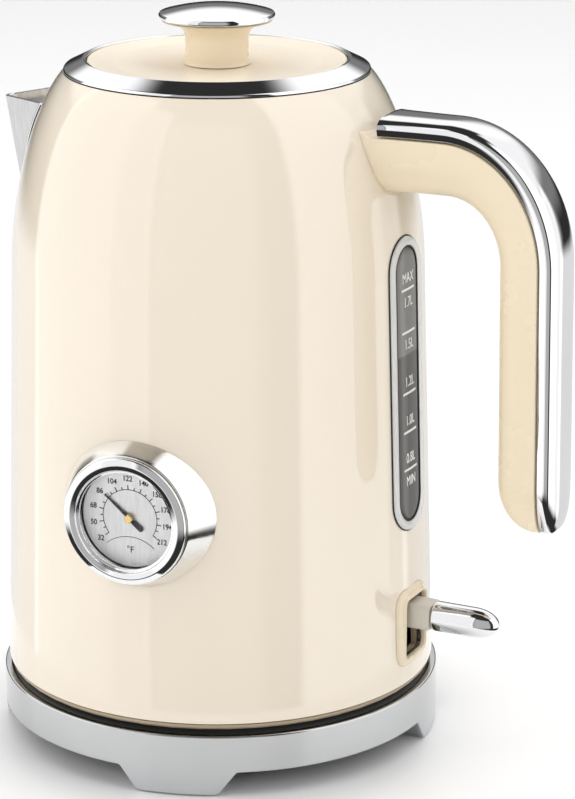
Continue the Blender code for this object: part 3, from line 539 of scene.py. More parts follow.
def jug_line(offset=0.0, rows=30, curve_rows=36):
    """The jug's side from its top edge down, moved out by offset."""
    line = shoulder_curve(curve_rows)
    foot = Vector((bottom_radius, jug_bottom))
    line += [line[-1].lerp(foot, (i + 1) / rows) for i in range(rows)]
    moved = []
    for i, point in enumerate(line):
        along = (line[min(i + 1, len(line) - 1)] - line[max(i - 1, 0)]).normalized()
        moved.append((point.x - along.y * offset, point.y + along.x * offset))
    return moved


side_line = jug_line()


def jug_radius(height):
    """The jug's outer radius at a height."""
    for (r0, z0), (r1, z1) in zip(side_line, side_line[1:]):
        if z1 <= height <= z0:
            return r0 + (r1 - r0) * (height - z0) / (z1 - z0)
    return side_line[0][0] if height > jug_top else side_line[-1][0]


def on_side(across, height, proud=0.0):
    """A point on the jug's handle side, wrapped round it, proud of the enamel."""
    radius = jug_radius(height)
    return Vector(around(radius + proud, across / radius, height))


def side_reach(across, height, proud=0.0):
    """How far along X the jug's side lies at a straight distance across."""
    return math.sqrt((jug_radius(height) + proud) ** 2 - across**2)


def prism(name, outline, near, far):
    """An outline of (y, z) points carried along X, as a cutting tool."""
    shape = bmesh.new()
    skin(shape, [[(x, y, z) for y, z in outline] for x in (near, far)], capped=True)
    return finish_mesh(name, shape, jug_place)


def cut(mesh, tools):
    """A new mesh with the tools' shapes taken away."""
    work = new_object("work", mesh)
    helpers = []
    for tool in tools:
        helper = new_object("tool", tool)
        step = work.modifiers.new("Cut", "BOOLEAN")
        step.object = helper
        helpers.append(helper)
    graph = bpy.context.evaluated_depsgraph_get()
    result = bpy.data.meshes.new_from_object(work.evaluated_get(graph))
    for helper in (work, *helpers):
        bpy.data.objects.remove(helper)
    return result


# ---- Jug ----


def spout_shape(inset):
    """The outline of the spout's mouth in the jug's side, as (across, height)."""
    half = 26.5 - 1.4 * inset
    return [(-half, 212.0 - inset), (half, 212.0 - inset), (0, 141.0 + 3 * inset)]


def make_jug():
    """The enamelled shell: its side, hem and neck turned in one, then opened for window, lever and spout."""
    outer = jug_line()
    inner = [(r, z) for r, z in jug_line(-shell_wall) if z < jug_top - shell_wall and r > 49.0]
    hem = [(bottom_radius - 0.15, jug_bottom + 0.25), (bottom_radius - 0.5, jug_bottom)]
    neck = [
        (47.6, 222.3), (47.6, 214.3), (47.3, 214.0), (46.9, 214.0), (46.6, 214.3), (46.6, 223.0), (46.9, 223.3),
    ]
    mesh = turned("jug", outer[:-1] + [(outer[-1][0], jug_bottom + 0.8)] + hem + inner[::-1] + neck)
    pane = stadium(window_low.z + window_border, window_high.z - window_border, window_half - window_border)
    window = prism("window", pane, 50, 90)
    lever = prism("lever", lever_opening(0.0), 55, 90)
    mouth = prism("mouth", spout_shape(4.0), -90, -40)
    mesh = cut(mesh, [window, lever, mouth])
    mesh.materials.append(cream_enamel)
    mesh.materials.append(turned_steel)
    for face in mesh.polygons:
        centre = face.center - jug_axis
        radius = math.hypot(centre.x, centre.y) / MM
        if radius < jug_radius(centre.z / MM) - 0.5 * shell_wall:
            face.material_index = 1
    put("jug_shell", mesh, cream_enamel, "jug", ["body_shell"])


def lever_opening(grow):
    """The switch opening's outline, larger all round by grow."""
    low, high = bezel_low.z + bezel_border - grow, bezel_high.z - bezel_border + grow
    return rectangle(bezel_high.y - bezel_border + grow, low, high, 2.4 + grow)


make_jug()


def sweep(name, path, radius, steps=10):
    """A round bead along a path."""
    shape = bmesh.new()
    rings = []
    for i, point in enumerate(path):
        along = (path[min(i + 1, len(path) - 1)] - path[max(i - 1, 0)]).normalized()
        side = along.cross(Vector((0, 0, 1)))
        side = side.normalized() if side.length > 1e-4 else Vector((0, 1, 0))
        up = side.cross(along)
        turns = [math.tau * k / steps for k in range(steps)]
        rings.append([point + (side * math.cos(t) + up * math.sin(t)) * radius for t in turns])
    skin(shape, rings, capped=True)
    return finish_mesh(name, shape, jug_place)


def make_spout():
    """A folded steel beak: scaled copies of its rim outline run down to one point on the jug's side. The rim
    overshoots into the jug, and the jug's own shape is cut away from it."""
    tip, corner_half, corner_height = Vector((-81.7, 0, 207.5)), 26.5, 212.0
    corner = Vector((-side_reach(corner_half, corner_height), -corner_half, corner_height))
    foot = Vector((-jug_radius(141.0), 0, 141.0))
    overshoot = 1.12
    near = tip + (corner - tip) * overshoot
    fold = rounded([(near.x, near.y), (tip.x, 0, 3.2), (near.x, -near.y)], steps=10)
    slope = (corner.z - tip.z) / (corner.x - tip.x)
    wall = 1.0

    def rim(inset):
        slant = inset / math.sin(math.atan2(corner_half, corner.x - tip.x))
        return [Vector((x + slant, y, tip.z + slope * (x - tip.x))) for x, y in fold]

    def sheet(inset, share):
        start = foot + Vector((inset * 1.5, 0, 0))
        return [start + (point - start) * share for point in rim(inset)]

    shares = [0.03 + 0.97 * i / 24 for i in range(25)]
    outer, inner = [sheet(0.0, s) for s in shares], [sheet(wall, s) for s in shares]
    lip_out = [p + Vector((0, 0, 0.35)) for p in sheet(0.25, 1.0)]
    lip_in = [p + Vector((0, 0, 0.35)) for p in sheet(0.75, 1.0)]
    shape = bmesh.new()
    rings = outer + [lip_out, lip_in] + inner[::-1]
    rows = [[shape.verts.new(point) for point in ring] for ring in rings]
    for one, two in list(zip(rows, rows[1:])) + [(rows[-1], rows[0])]:
        for i in range(len(one) - 1):
            shape.faces.new((one[i], one[i + 1], two[i + 1], two[i]))
    for end in (0, -1):
        shape.faces.new([row[end] for row in rows])
    mesh = finish_mesh("spout", shape, jug_place)
    core_line = [(0, jug_top + 9), (neck_edge_radius, jug_top + 9), *jug_line(0.05), (0, jug_bottom)]
    mesh = cut(mesh, [turned("core", core_line)])
    put("spout_beak", mesh, brushed_steel, "jug", ["spout"])
    seam_path = []
    for i in range(-24, 25):
        share = abs(i) / 24
        point = foot.lerp(Vector((corner.x, math.copysign(corner_half, i), corner_height)), share)
        flat = Vector((point.x, point.y)).normalized() * (jug_radius(point.z) + 0.15)
        seam_path.append(Vector((flat.x, flat.y, point.z)))
    bead = sweep("bead", seam_path, 0.65)
    put("spout_weld", bead, bright_chrome, "jug", sharp=60)


make_spout()


# ---- Handle ----

handle_low, handle_high = span("handle_core")
trim_low, trim_high = span("handle_trim")
handle_lean = 1.0
handle_reach = trim_high.x - handle_lean
handle_top = trim_high.z
handle_bottom = trim_low.z
bend_out, bend_down = 39.2, 45.0
trim_depth, trim_depth_top = 6.0, 6.4
grip_depth, grip_depth_top = 15.2, 18.3
grip_half, root_half = 10.0, 14.5
trim_start = 62.0
tip_begins = 0.8


def handle_section(distance):
    """The handle's inner, middle and outer points and its half width, by distance along it: below 0 is the
    straight root, 0 to 1 the bend, and 1 to 2 the grip down to its tip."""
    centre_x, centre_z = handle_reach - bend_out, handle_top - bend_down
    split = (bend_out - trim_depth, bend_down - trim_depth_top)
    inside = (split[0] - grip_depth, split[1] - grip_depth_top)
    if distance <= 0:
        x = centre_x + distance
        flare = max(0.0, -distance / 39.0) ** 2
        half = grip_half + (root_half - grip_half) * flare
        heights = (inside[1] - 2.2 * flare, split[1], bend_down)
        return [Vector((x, 0, centre_z + h)) for h in heights], half
    if distance <= 1:
        angle = math.pi / 2 * (1 - distance)
        cos, sin = math.cos(angle), math.sin(angle)
        sides = (inside, split, (bend_out, bend_down))
        return [Vector((centre_x + a * cos, 0, centre_z + b * sin)) for a, b in sides], grip_half
    share = distance - 1
    x = centre_x + split[0] + handle_lean * share
    z = centre_z - (centre_z - handle_bottom) * share
    low = max(0.0, (share - tip_begins) / (1 - tip_begins))
    drop = 1 - math.sqrt(max(0.0, 1 - low**2.3))
    sides = (x - grip_depth * (1 - 0.86 * drop), x, x + trim_depth * (1 - 0.5 * drop**1.5))
    return [Vector((s, 0, z)) for s in sides], grip_half * (1 - 0.62 * drop)


def half_round(flat, crown, half, flank, tuck, fullness, steps=9):
    """One ring of the handle: square at flat, a flank that opens by tuck, then a full curve over the crown."""
    way, side = (crown - flat).normalized(), Vector((0, 1, 0))
    depth = (crown - flat).length
    soft = min(0.4, 0.2 * depth)
    flank = min(flank, 0.4 * depth)
    foot = half - tuck
    points = [(foot - soft, 0), (foot - 0.3 * soft, 0.3 * soft), (foot + 0.1 * tuck, soft)]
    for i in range(steps):
        angle = math.pi / 2 * i / steps
        across, up = math.cos(angle) ** (2 / fullness), math.sin(angle) ** (2 / fullness)
        points.append((half * across, flank + (depth - flank) * up))
    left = [flat - side * across + way * up for across, up in points]
    right = [flat + side * across + way * up for across, up in reversed(points)]
    return left + [flat + way * depth] + right


def make_handle():
    """The cream grip and the chrome strip over its back, as rings along root, bend, grip and rounded tip."""
    landing_gap = 0.15
    stops = [-24.0 + 2.0 * i for i in range(12)] + [i / 28 for i in range(29)]
    stops += [1 + 0.05 * (i + 1) for i in range(15)]
    stops += [1.75 + 0.25 * math.sin(math.pi / 2 * (i + 1) / 22) for i in range(22)]
    grip, trim = [], []
    for stop in stops:
        (inner, split, outer), half = handle_section(stop)
        way = (outer - inner).normalized()
        flare = (half - grip_half) / (root_half - grip_half) if half > grip_half else 0.0
        grip.append(half_round(split - way * 0.2, inner, half, 4.5 - 2.5 * flare, 0.1, 2.7 - 0.5 * flare))
        trim.append(half_round(split + way * 0.2, outer, half, 2.4, 0.6, 2.8))
    root = grip[0]
    landing = []
    for blend in (0.0, 0.25, 0.5, 0.75):
        ring = []
        for point in root:
            x = side_reach(point.y, point.z, landing_gap)
            flare = (1 - blend) ** 2
            rise = 1.8 if point.z > 206 else -1.1 * max(0.0, (200 - point.z) / 14)
            x += (point.x - x) * blend
            ring.append(Vector((x, point.y * (1 + 0.05 * flare), point.z + rise * flare)))
        landing.append(ring)
    landing[0] = [Vector((side_reach(p.y, p.z, landing_gap), p.y, p.z)) for p in landing[0]]
    shape = bmesh.new()
    skin(shape, landing + grip, capped=True)
    mesh = finish_mesh("grip", shape, jug_place)
    put("handle_grip", mesh, cream_plastic, "jug", ["handle_core"], sharp=50)
    shape = bmesh.new()
    rings = [[], [Vector((trim_start + 0.5, p.y, p.z)) for p in trim[0]]]
    for p in trim[0]:
        narrow, sink = (0.96, 0.5) if p.z > 209 else (0.98, 0.0)
        rings[0].append(Vector((trim_start, p.y * narrow, p.z - sink)))
    rings += [ring for ring in trim if ring[0].x > trim_start + 1 or ring[0].z < 200]
    skin(shape, rings, capped=True)
    mesh = finish_mesh("trim", shape, jug_place)
    put("handle_chrome", mesh, bright_chrome, "jug", ["handle_trim"], sharp=50)


make_handle()


# ---- Window ----


def make_window():
    """A clear rim between two dark lines, and the pane inside it, all wrapped round the jug's side."""
    low, high = window_low.z, window_high.z

    def ring(inset, proud):
        outline = stadium(low + inset, high - inset, window_half - inset)
        return [on_side(y, z, proud) for y, z in outline]

    def band(name, steps, material, nodes=()):
        shape = bmesh.new()
        skin(shape, [ring(*step) for step in steps], closed=True)
        mesh = finish_mesh(name, shape, jug_place)
        put(name, mesh, material, "jug", nodes, sharp=60)

    edge = [(-0.45, 0.06), (-0.45, 0.3), (-0.3, 0.4), (-0.05, 0.4), (-0.05, 0.06)]
    band("window_edge", edge, black_plastic)
    rim = [(0.0, 0.1), (0.0, 0.6), (0.25, 1.05), (0.7, 1.3), (1.3, 1.35)]
    rim += [(1.9, 1.2), (2.4, 0.95), (2.7, 0.9), (2.9, 0.7), (2.9, 0.1)]
    band("window_rim", rim, clear_rim, ["window_lens"])
    line = [(2.95, 0.1), (2.95, 0.75), (3.1, 0.85), (3.35, 0.85), (3.45, 0.7), (3.45, 0.1)]
    band("window_line", line, black_plastic)
    shape = bmesh.new()
    inset = window_border - 0.2
    fill = [inset + (window_half - 0.4 - inset) * i / 8 for i in range(9)]
    front = [ring(inset, -0.6), ring(inset, 0.35), ring(inset + 0.25, 0.55)]
    front += [ring(i + 0.4, 0.6) for i in fill[1:]]
    back = [ring(i, -0.6) for i in fill[:0:-1]]
    skin(shape, front + back)
    bmesh.ops.remove_doubles(shape, verts=shape.verts, dist=0.001)
    bmesh.ops.holes_fill(shape, edges=shape.edges, sides=0)
    mesh = finish_mesh("pane", shape, jug_place)
    put("window_pane", mesh, smoked_pane, "jug", sharp=60)


make_window()


def lettering(text, size, squeeze=1.0, thick=0.06, weight=0.0):
    """Flat letters centred on their own origin, as a mesh in millimetres."""
    curve = bpy.data.curves.new("letters", "FONT")
    curve.body = text
    curve.size = size
    curve.align_x = "CENTER"
    curve.align_y = "CENTER"
    curve.extrude = thick
    curve.offset = weight
    holder = new_object("letters", curve)
    mesh = bpy.data.meshes.new_from_object(holder.evaluated_get(bpy.context.evaluated_depsgraph_get()))
    bpy.data.objects.remove(holder)
    mesh.transform(Matrix.Diagonal((squeeze, 1, 1, 1)))
    return mesh


def gather(shape, mesh, move):
    """Adds a mesh to a shape, each point moved by a function."""
    fresh = bmesh.new()
    fresh.from_mesh(mesh)
    bmesh.ops.subdivide_edges(fresh, edges=[e for e in fresh.edges if e.calc_length() > 1.5], cuts=1)
    for point in fresh.verts:
        point.co = move(point.co)
    fresh.to_mesh(mesh)
    fresh.free()
    shape.from_mesh(mesh)


def flat_bar(low_x, high_x, low_y, high_y, thick=0.06):
    shape = bmesh.new()
    bmesh.ops.create_cube(shape, size=1.0)
    bmesh.ops.scale(shape, vec=(high_x - low_x, high_y - low_y, 2 * thick), verts=shape.verts)
    bmesh.ops.translate(shape, vec=((low_x + high_x) / 2, (low_y + high_y) / 2, 0), verts=shape.verts)
    return to_mesh("bar", shape)


def make_window_marks():
    """White litre lines and their generic figures, printed on the pane."""
    shape = bmesh.new()
    proud = 0.68

    def lay(height):
        return lambda point: on_side(point.x, height + point.y, proud + point.z)

    for height in (157.9, 143.8, 123.5, 110.5, 97.8):
        gather(shape, flat_bar(-4.6, 4.6, -0.35, 0.35), lay(height))
    litres = (("1.7L", 153.6), ("1.5L", 139.6), ("1.2L", 127.2), ("1.0L", 114.2), ("0.8L", 101.5))
    for text, height in (("MAX", 161.6), *litres, ("MIN", 93.8)):
        gather(shape, lettering(text, 4.7, 0.8), lay(height))
    mesh = to_mesh("marks", shape)
    mesh.transform(jug_place)
    put("window_marks", mesh, mark_ink, "jug")


make_window_marks()


# ---- Switch ----


def make_switch():
    """The cream surround swells out of the enamel, and its opening runs back through the wall. The lever is a
    pearl arm with a chrome knob."""
    half, low, high = bezel_high.y, bezel_low.z, bezel_high.z
    front = bezel_high.x
    shape = bmesh.new()

    def outer(inset, proud):
        outline = rectangle(half - inset, low + inset, high - inset, 6.0 - 0.6 * inset)
        return [Vector((side_reach(y, z, proud), y, z)) for y, z in outline]

    def inner(grow, x):
        return [Vector((x, y, z)) for y, z in lever_opening(grow)]

    crest = front - jug_radius(low)
    rings = [outer(0.0, 0.1)]
    for i in range(1, 7):
        angle = math.pi / 2 * i / 6
        rings.append(outer(1.9 - 1.9 * math.cos(angle), 0.1 + (crest - 0.1) * math.sin(angle)))
    rings += [inner(0.5, front), inner(0.15, front - 0.3), inner(0.0, front - 0.8), inner(0.0, 71.6)]
    skin(shape, rings, closed=True)
    mesh = finish_mesh("surround", shape, jug_place)
    put("switch_surround", mesh, cream_plastic, "jug", ["lever_bezel"], sharp=60)

    arm_low, arm_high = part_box("lever_arm")
    pivot = Vector(joints["lever_pivot"]["pos_m"])
    start, end = (arm_low.x - pivot.x) / MM, (arm_high.x - pivot.x) / MM
    tall, wide = (arm_high.z - pivot.z) / MM, (arm_high.y - pivot.y) / MM
    shape = bmesh.new()
    rings = []
    tail = ((start, 1.2), (start + 0.5, 0.4), (start + 1.2, 0.0))
    for x, shrink in (*tail, (end - 6, 0.0), (end - 0.6, 0.1), (end, 0.5)):
        outline = rectangle(wide - shrink, -tall + shrink, tall - shrink, 2.0)
        rings.append([(x, y, z) for y, z in outline])
    skin(shape, rings, capped=True)
    mesh = finish_mesh("arm", shape, lever_place)
    put("switch_arm", mesh, pearl_plastic, "switch_lever", ["lever_arm"], sharp=50)

    knob_low, knob_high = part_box("lever_knob")
    near, far = (knob_low.x - pivot.x) / MM, (knob_high.x - pivot.x) / MM
    radius = (knob_high.z - pivot.z) / MM
    line = [(0, far)]
    nose = 9.0
    for i in range(1, 15):
        angle = math.pi / 2 * i / 14
        line.append((radius * math.sin(angle) ** 0.92, far - nose + nose * math.cos(angle)))
    line += [(radius, near + 0.7), (radius - 0.2, near + 0.25), (radius - 0.7, near), (0, near)]
    lay = lever_place @ Matrix.Rotation(math.pi / 2, 4, "Y")
    put("switch_knob", turned("knob", line, lay, 72), bright_chrome, "switch_lever", ["lever_knob"])


make_switch()


# ---- Thermometer ----


def make_gauge():
    """The cone that lands on the jug's side, then its ring, its glass and the dial behind it. Returns the dial's
    front, measured out from the jug's axis."""
    front = 76.0
    rings = []
    steps = 160
    cone = [Vector((21.9, 74.8)), Vector((27.0, 63.7))]

    def landed(radius, angle, depth):
        """Whether a point of the gauge, turned about its own axis, is inside the jug's side."""
        point = local_to_jug @ Vector(around(radius, angle, depth))
        return math.hypot(point.x, point.y) < jug_radius(point.z) + 0.12

    local_to_jug = jug_place.inverted() @ gauge_place

    def foot_of(start, end, angle):
        """Where a line of the gauge meets the jug's side."""
        low, high = 0.0, 1.0
        for _ in range(18):
            middle = (low + high) / 2
            at = start.lerp(end, middle)
            if landed(at.x, angle, at.y):
                high = middle
            else:
                low = middle
        return start.lerp(end, low)

    angles = [math.tau * i / steps for i in range(steps)]
    crown = rounded([(16.6, front), (21.3, front, 0.7), (21.9, 74.8)], 4)
    for radius, depth in crown:
        rings.append([around(radius, a, depth) for a in angles])
    feet = [foot_of(cone[0], cone[1], a) for a in angles]
    bores = [foot_of(Vector((16.6, 75.0)), Vector((16.6, 60.0)), a) for a in angles]
    for share in (0.33, 0.66, 0.97):
        row = [cone[0].lerp(foot, share) for foot in feet]
        rings.append([around(p.x, a, p.y) for p, a in zip(row, angles)])
    rings.append([around(p.x * 0.997, a, p.y) for p, a in zip(feet, angles)])
    rings.append([around(p.x, a, p.y) for p, a in zip(bores, angles)])
    shape = bmesh.new()
    skin(shape, rings, closed=True)
    mesh = finish_mesh("collar", shape, gauge_place)
    put("gauge_collar", mesh, satin_chrome, "jug", ["gauge_housing"], sharp=50)

    seat = front + seam
    line = [
        (15.9, seat), (15.9, seat + 0.5, 0.3), (16.7, seat + 0.8, 0.5), (17.0, seat + 1.5, 0.4),
        (18.7, seat + 1.9, 1.3), (20.9, seat + 1.2, 1.2), (20.9, seat, 0.3),
    ]
    put("gauge_ring", turned("ring", rounded(line, 6), gauge_place), bright_chrome, "jug", ["gauge_bezel"])
    glass = rounded([(0, front), (16.2, front, 0.2), (16.2, front - 1.2, 0.2), (0, front - 1.2)])
    mesh = turned("glass", glass, gauge_place, 96)
    put("gauge_window", mesh, gauge_glass, "jug", ["gauge_lens"])
    back, hole = 71.7, 0.9
    dial = [(hole, back + 0.8), (14.0, back + 0.8), (16.2, back + 0.9, 0.1), (16.2, back, 0.1), (hole, back)]
    mesh = turned("face", rounded(dial), gauge_place, 96)
    put("gauge_face", mesh, dial_metal, "jug", ["gauge_dial"])
    return back + 0.85


dial_top = make_gauge()


def make_scale():
    """The dial's print: an arc with ticks, a generic figure at every second one, a shorter arc below and the
    unit."""
    shape = bmesh.new()
    first, last, count = math.radians(128), math.radians(-122), 20
    arc_radius = 9.3
    thick = 0.03
    level = Vector((0, 0, dial_top + 0.03))

    def lay(turn, radius):
        """Stands a mark upright at a turn from the top, to the left."""
        spot = Vector((-radius * math.sin(turn), radius * math.cos(turn), level.z))
        return lambda point: spot + point

    def spin(turn, centre=level):
        """Turns a mark about a centre."""
        return lambda point: Matrix.Rotation(turn, 3, "Z") @ point + centre

    for i in range(count + 1):
        turn = first + (last - first) * i / count
        reach = 1.5 if i % 2 == 0 else 0.9
        gather(shape, flat_bar(-0.15, 0.15, arc_radius - 0.1, arc_radius + reach, thick), spin(turn))
        if i % 2 == 0:
            gather(shape, lettering(str(32 + 9 * i), 2.5, 0.92, thick, 0.045), lay(turn, 12.9))
    pieces = 96
    for i in range(pieces):
        turn = first + (last - first) * (i + 0.5) / pieces
        gather(shape, flat_bar(-0.24, 0.24, arc_radius - 0.1, arc_radius + 0.1, thick), spin(turn))
    below = Vector((0, -19.0, level.z))
    for i in range(48):
        turn = math.radians(40) * (1 - 2 * (i + 0.5) / 48)
        gather(shape, flat_bar(-0.2, 0.2, 12.6, 12.76, thick), spin(turn, below))
    gather(shape, lettering("°F", 3.0, 1.0, thick), lay(math.pi, 10.6))
    mesh = to_mesh("scale", shape)
    mesh.transform(gauge_place)
    put("gauge_scale", mesh, dial_ink, "jug")


make_scale()


def make_needle():
    """A thin blade with a blunt counterweight, and the brass boss that carries it."""
    low, high = 72.85, 73.3
    reading = math.radians(50.0)
    place = gauge_place @ Matrix.Rotation(reading, 4, "Z")
    shape = bmesh.new()
    edge = [(-0.12, 11.0), (-0.42, 2.2), (-0.5, -1.0), (-0.75, -2.0), (-0.75, -5.2), (-0.45, -5.8)]
    outline = edge + [(-x, y) for x, y in reversed(edge)]
    skin(shape, [[(x, y, z) for x, y in outline] for z in (low, high)], capped=True)
    mesh = finish_mesh("blade", shape, place)
    put("gauge_needle_blade", mesh, dial_ink, "gauge_needle", ["gauge_pointer"])
    line = rounded([(0, high + 1.1), (1.3, high + 1.1, 0.5), (1.5, high + 0.1, 0.1), (0, high + 0.1)])
    mesh = turned("boss", line, gauge_place, 40)
    put("gauge_boss", mesh, polished_brass, "gauge_needle", ["gauge_hub"])
    mesh = turned("spindle", [(0, high), (0.6, high), (0.6, 71.7), (0, 71.7)], gauge_place, 24)
    put("gauge_spindle", mesh, brushed_steel, "gauge_needle")


make_needle()


# ---- Lid ----


def make_lid():
    """The chrome ring, the cream dish inside it, the plug that goes down the neck, and its seal."""
    seat = jug_top + seam
    ring = [
        (42.4, 223.8, 0.2), (42.4, 227.2, 0.25), (43.5, 227.5, 0.5), (49.6, 224.5, 0.9), (50.0, seat, 0.25),
        (46.6, seat, 0.3),
    ]
    put("lid_rim", turned("rim", rounded(ring, 7)), bright_chrome, "lid", ["lid_ring"])
    top, floor = 227.4, 225.2
    disc = [
        (1.9, floor), (15.0, floor, 8.0), (34.0, floor + 0.6, 12.0), (41.6, top - 0.3, 0.8),
        (42.1, top - 0.8, 0.3), (42.1, top - 1.6, 0.3), (34.0, floor - 0.9, 4.0), (15.0, floor - 1.5),
        (1.9, floor - 1.5),
    ]
    put("lid_disc", turned("disc", rounded(disc, 10)), lid_enamel, "lid", ["lid_cap"])
    plug_low, plug_high = span("lid_plug")
    outer, top, low = plug_high.x, plug_high.z, plug_low.z
    cup = [
        (1.8, top, 0.3), (outer, top, 1.0), (outer, low, 0.6), (outer - 1.5, low, 0.6),
        (outer - 1.5, top - 1.5, 1.5), (1.8, top - 1.5, 0.3),
    ]
    put("lid_cup", turned("cup", rounded(cup)), grey_plastic, "lid", ["lid_plug"])
    seal_low, seal_high = span("lid_seal")
    middle, edge = (seal_low.z + seal_high.z) / 2, seal_high.x
    seal = [
        (outer + 0.3, seal_high.z, 0.2), (edge - 0.9, seal_high.z, 0.3), (edge - 0.9, middle + 0.7, 0.3),
        (edge, middle + 0.5, 0.3), (edge, middle - 0.5, 0.3), (edge - 0.9, middle - 0.7, 0.3),
        (edge - 0.9, seal_low.z, 0.3), (outer + 0.3, seal_low.z, 0.2),
    ]
    put("lid_gasket", turned("gasket", rounded(seal)), seal_silicone, "lid", ["lid_seal"])


def make_knob():
    """A cream neck that flares up to a domed chrome cap."""
    low, high = span("knob_stem")
    stem, flare = 10.3, high.x
    line = [(0, high.z), (flare - 0.4, high.z), (flare, high.z - 0.35)]
    for i in range(1, 17):
        angle = math.pi / 2 * i / 16
        line.append((flare - (flare - stem) * math.sin(angle) ** 0.9, high.z - 6.0 + 5.4 * math.cos(angle)))
    line += [
        (stem, low.z + 1.2), (stem + 0.15, low.z + 0.5), (stem + 0.5, low.z), (1.8, low.z),
        (1.8, high.z - 3.0), (0, high.z - 3.0),
    ]
    put("knob_neck", turned("neck", line, steps=128), cream_plastic, "lid", ["knob_stem"])
    low, high = span("knob_cap")
    radius = high.x
    dome = high.z - (low.z + 2.1)
    line = [(0, high.z)]
    for i in range(1, 13):
        share = i / 12
        line.append((share * (radius - 0.9), high.z - dome * share**2))
    line += [
        (radius - 0.35, low.z + 1.9), (radius - 0.05, low.z + 1.45), (radius, low.z + 1.0),
        (radius - 0.1, low.z + 0.45), (radius - 0.5, low.z + 0.1), (radius - 1.0, low.z), (0, low.z),
    ]
    put("knob_button", turned("button", line, steps=128), bright_chrome, "lid", ["knob_cap"])


make_lid()
make_knob()


# ---- Power base ----

skirt_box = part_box("base_skirt")
base_radius = (skirt_box[1].y - skirt_box[0].y) / 2 / MM
base_turn = math.radians(16.4)
foot_narrow, foot_broad = 10.5, 15.3
base_place = jug_place @ Matrix.Rotation(base_turn, 4, "Z")


def foot_line():
    """The skirt's lower edge over a quarter turn, as (angle in degrees, height)."""
    skirt, foot = 8.2, 0.5
    scale = math.degrees(1 / base_radius)
    corners = [
        (-45.0, skirt), (-foot_broad, skirt, 1.6), (-foot_narrow, foot, 2.4), (foot_narrow, foot, 2.4),
        (foot_broad, skirt, 1.6), (45.0, skirt),
    ]
    flat = [(c[0] / scale, *c[1:]) for c in corners]
    line = rounded(flat, 6)
    filled = []
    for (x0, z0), (x1, z1) in zip(line, line[1:]):
        pieces = max(1, int(abs(x1 - x0) / 2.2))
        for i in range(pieces):
            filled.append(((x0 + (x1 - x0) * i / pieces) * scale, z0 + (z1 - z0) * i / pieces))
    return filled


def make_base():
    """The chrome skirt with its four feet, solid blocks inside the feet, the dark deck and the connector."""
    skirt_top, wall = 20.8, 2.2
    shape = bmesh.new()
    sections = []
    for quarter in range(4):
        for angle, low in foot_line():
            turn = math.radians(angle + 90 * quarter)
            inside = base_radius - wall
            section = [
                (inside, low, 0.2), (inside, skirt_top, 0.2), (base_radius, skirt_top, 0.6), (base_radius, low, 0.5),
            ]
            sections.append([around(r, turn, z) for r, z in rounded(section, 4)])
    skin(shape, sections, closed=True)
    mesh = finish_mesh("skirt", shape, base_place)
    put("skirt_band", mesh, band_chrome, "power_base", ["base_skirt"])
    narrow, broad = math.radians(foot_narrow) * base_radius, math.radians(15.0) * base_radius
    for quarter in range(4):
        shape = bmesh.new()
        rings = []
        for radius, grow in ((61.6, -0.6), (62.2, 0.0), (66.0, 0.0), (base_radius - wall - 0.1, 0.0)):
            right = [(narrow + grow, 0.6 - grow * 0.5, 2.0), (broad + grow, 8.4, 1.0), (broad + grow, 11.8 + grow, 0.5)]
            left = [(-across, z, soft) for across, z, soft in reversed(right)]
            outline = rounded([left[-1], *right, *left[:-1]], 4)
            rings.append([around(radius, across / base_radius, z) for across, z in outline])
        skin(shape, rings, capped=True)
        place = base_place @ Matrix.Rotation(math.pi / 2 * quarter, 4, "Z")
        mesh = finish_mesh("foot", shape, place)
        put(f"foot_block_{quarter + 1}", mesh, band_chrome, "power_base")
    deck_low, deck_high = span("base_deck")
    outer = base_radius - wall - seam
    top, hole = deck_high.z, 15.9
    deck = [
        (hole, top - 2, 0.3), (hole, top, 0.4), (19.0, top, 0.3), (19.4, top - 0.5, 0.2), (24.0, top - 0.5, 0.2),
        (24.4, top, 0.3), (outer - 2.2, top, 0.8), (outer, skirt_top - 0.4, 0.6), (outer, deck_low.z, 0.3),
        (outer - 2, deck_low.z, 0.3), (outer - 2, top - 2, 0.5),
    ]
    mesh = turned("deck", rounded(deck))
    put("deck_plate", mesh, black_plastic, "power_base", ["base_deck"])
    socket_low, socket_high = span("base_socket")
    top, low = socket_high.z, socket_low.z
    seat = low + 3
    socket = [
        (0, top - 11), (3.2, top - 11), (3.2, top, 0.4), (8.5, top, 0.4), (8.5, top - 9), (11.5, top - 9),
        (11.5, top, 0.4), (15.5, top, 1.2), (15.5, seat), (19.5, seat), (19.5, low), (0, low),
    ]
    mesh = turned("socket", rounded(socket), steps=96)
    put("socket_tower", mesh, black_plastic, "power_base", ["base_socket"])


make_base()


# ---- Nodes that keep their own shape ----

kept = {
    # painted shade: the base housing's band gets the darker copy of the cream plastic
    painted_shade_cream: ["base_housing"],
    brown_plastic: ["switch_bracket"],
    plate_steel: ["heater_plate"],
    turned_steel: [
        "heating_element", "lever_pin", "handle_bracket", "gauge_probe", "spout_filter", "knob_screw"
    ],
    black_plastic: ["base_floor_cover", "jug_plug", "control_body"],
    grey_plastic: ["steam_tube", "window_retainer"],
    soft_rubber: ["cord_gland"] + [f"rubber_foot_{i}" for i in range(1, 5)],
    seal_silicone: ["plate_seal", "window_gasket", "gauge_gasket"],
    polished_brass: [
        "base_ring_contact", "base_centre_contact", "jug_ring_pin", "jug_centre_pin", "bimetal_disc", "gauge_nut"
    ],
}
for i in (1, 2, 3):
    kept[turned_steel] += [f"base_screw_{i}", f"floor_screw_{i}"]
for i in (1, 2):
    kept[turned_steel].append(f"handle_screw_{i}")
for material, names in kept.items():
    for name in names:
        node = frame["nodes"][name]
        node.data.materials.clear()
        node.data.materials.append(material)
        node.data.shade_smooth()
        node.data.set_sharp_from_angle(angle=math.radians(30))


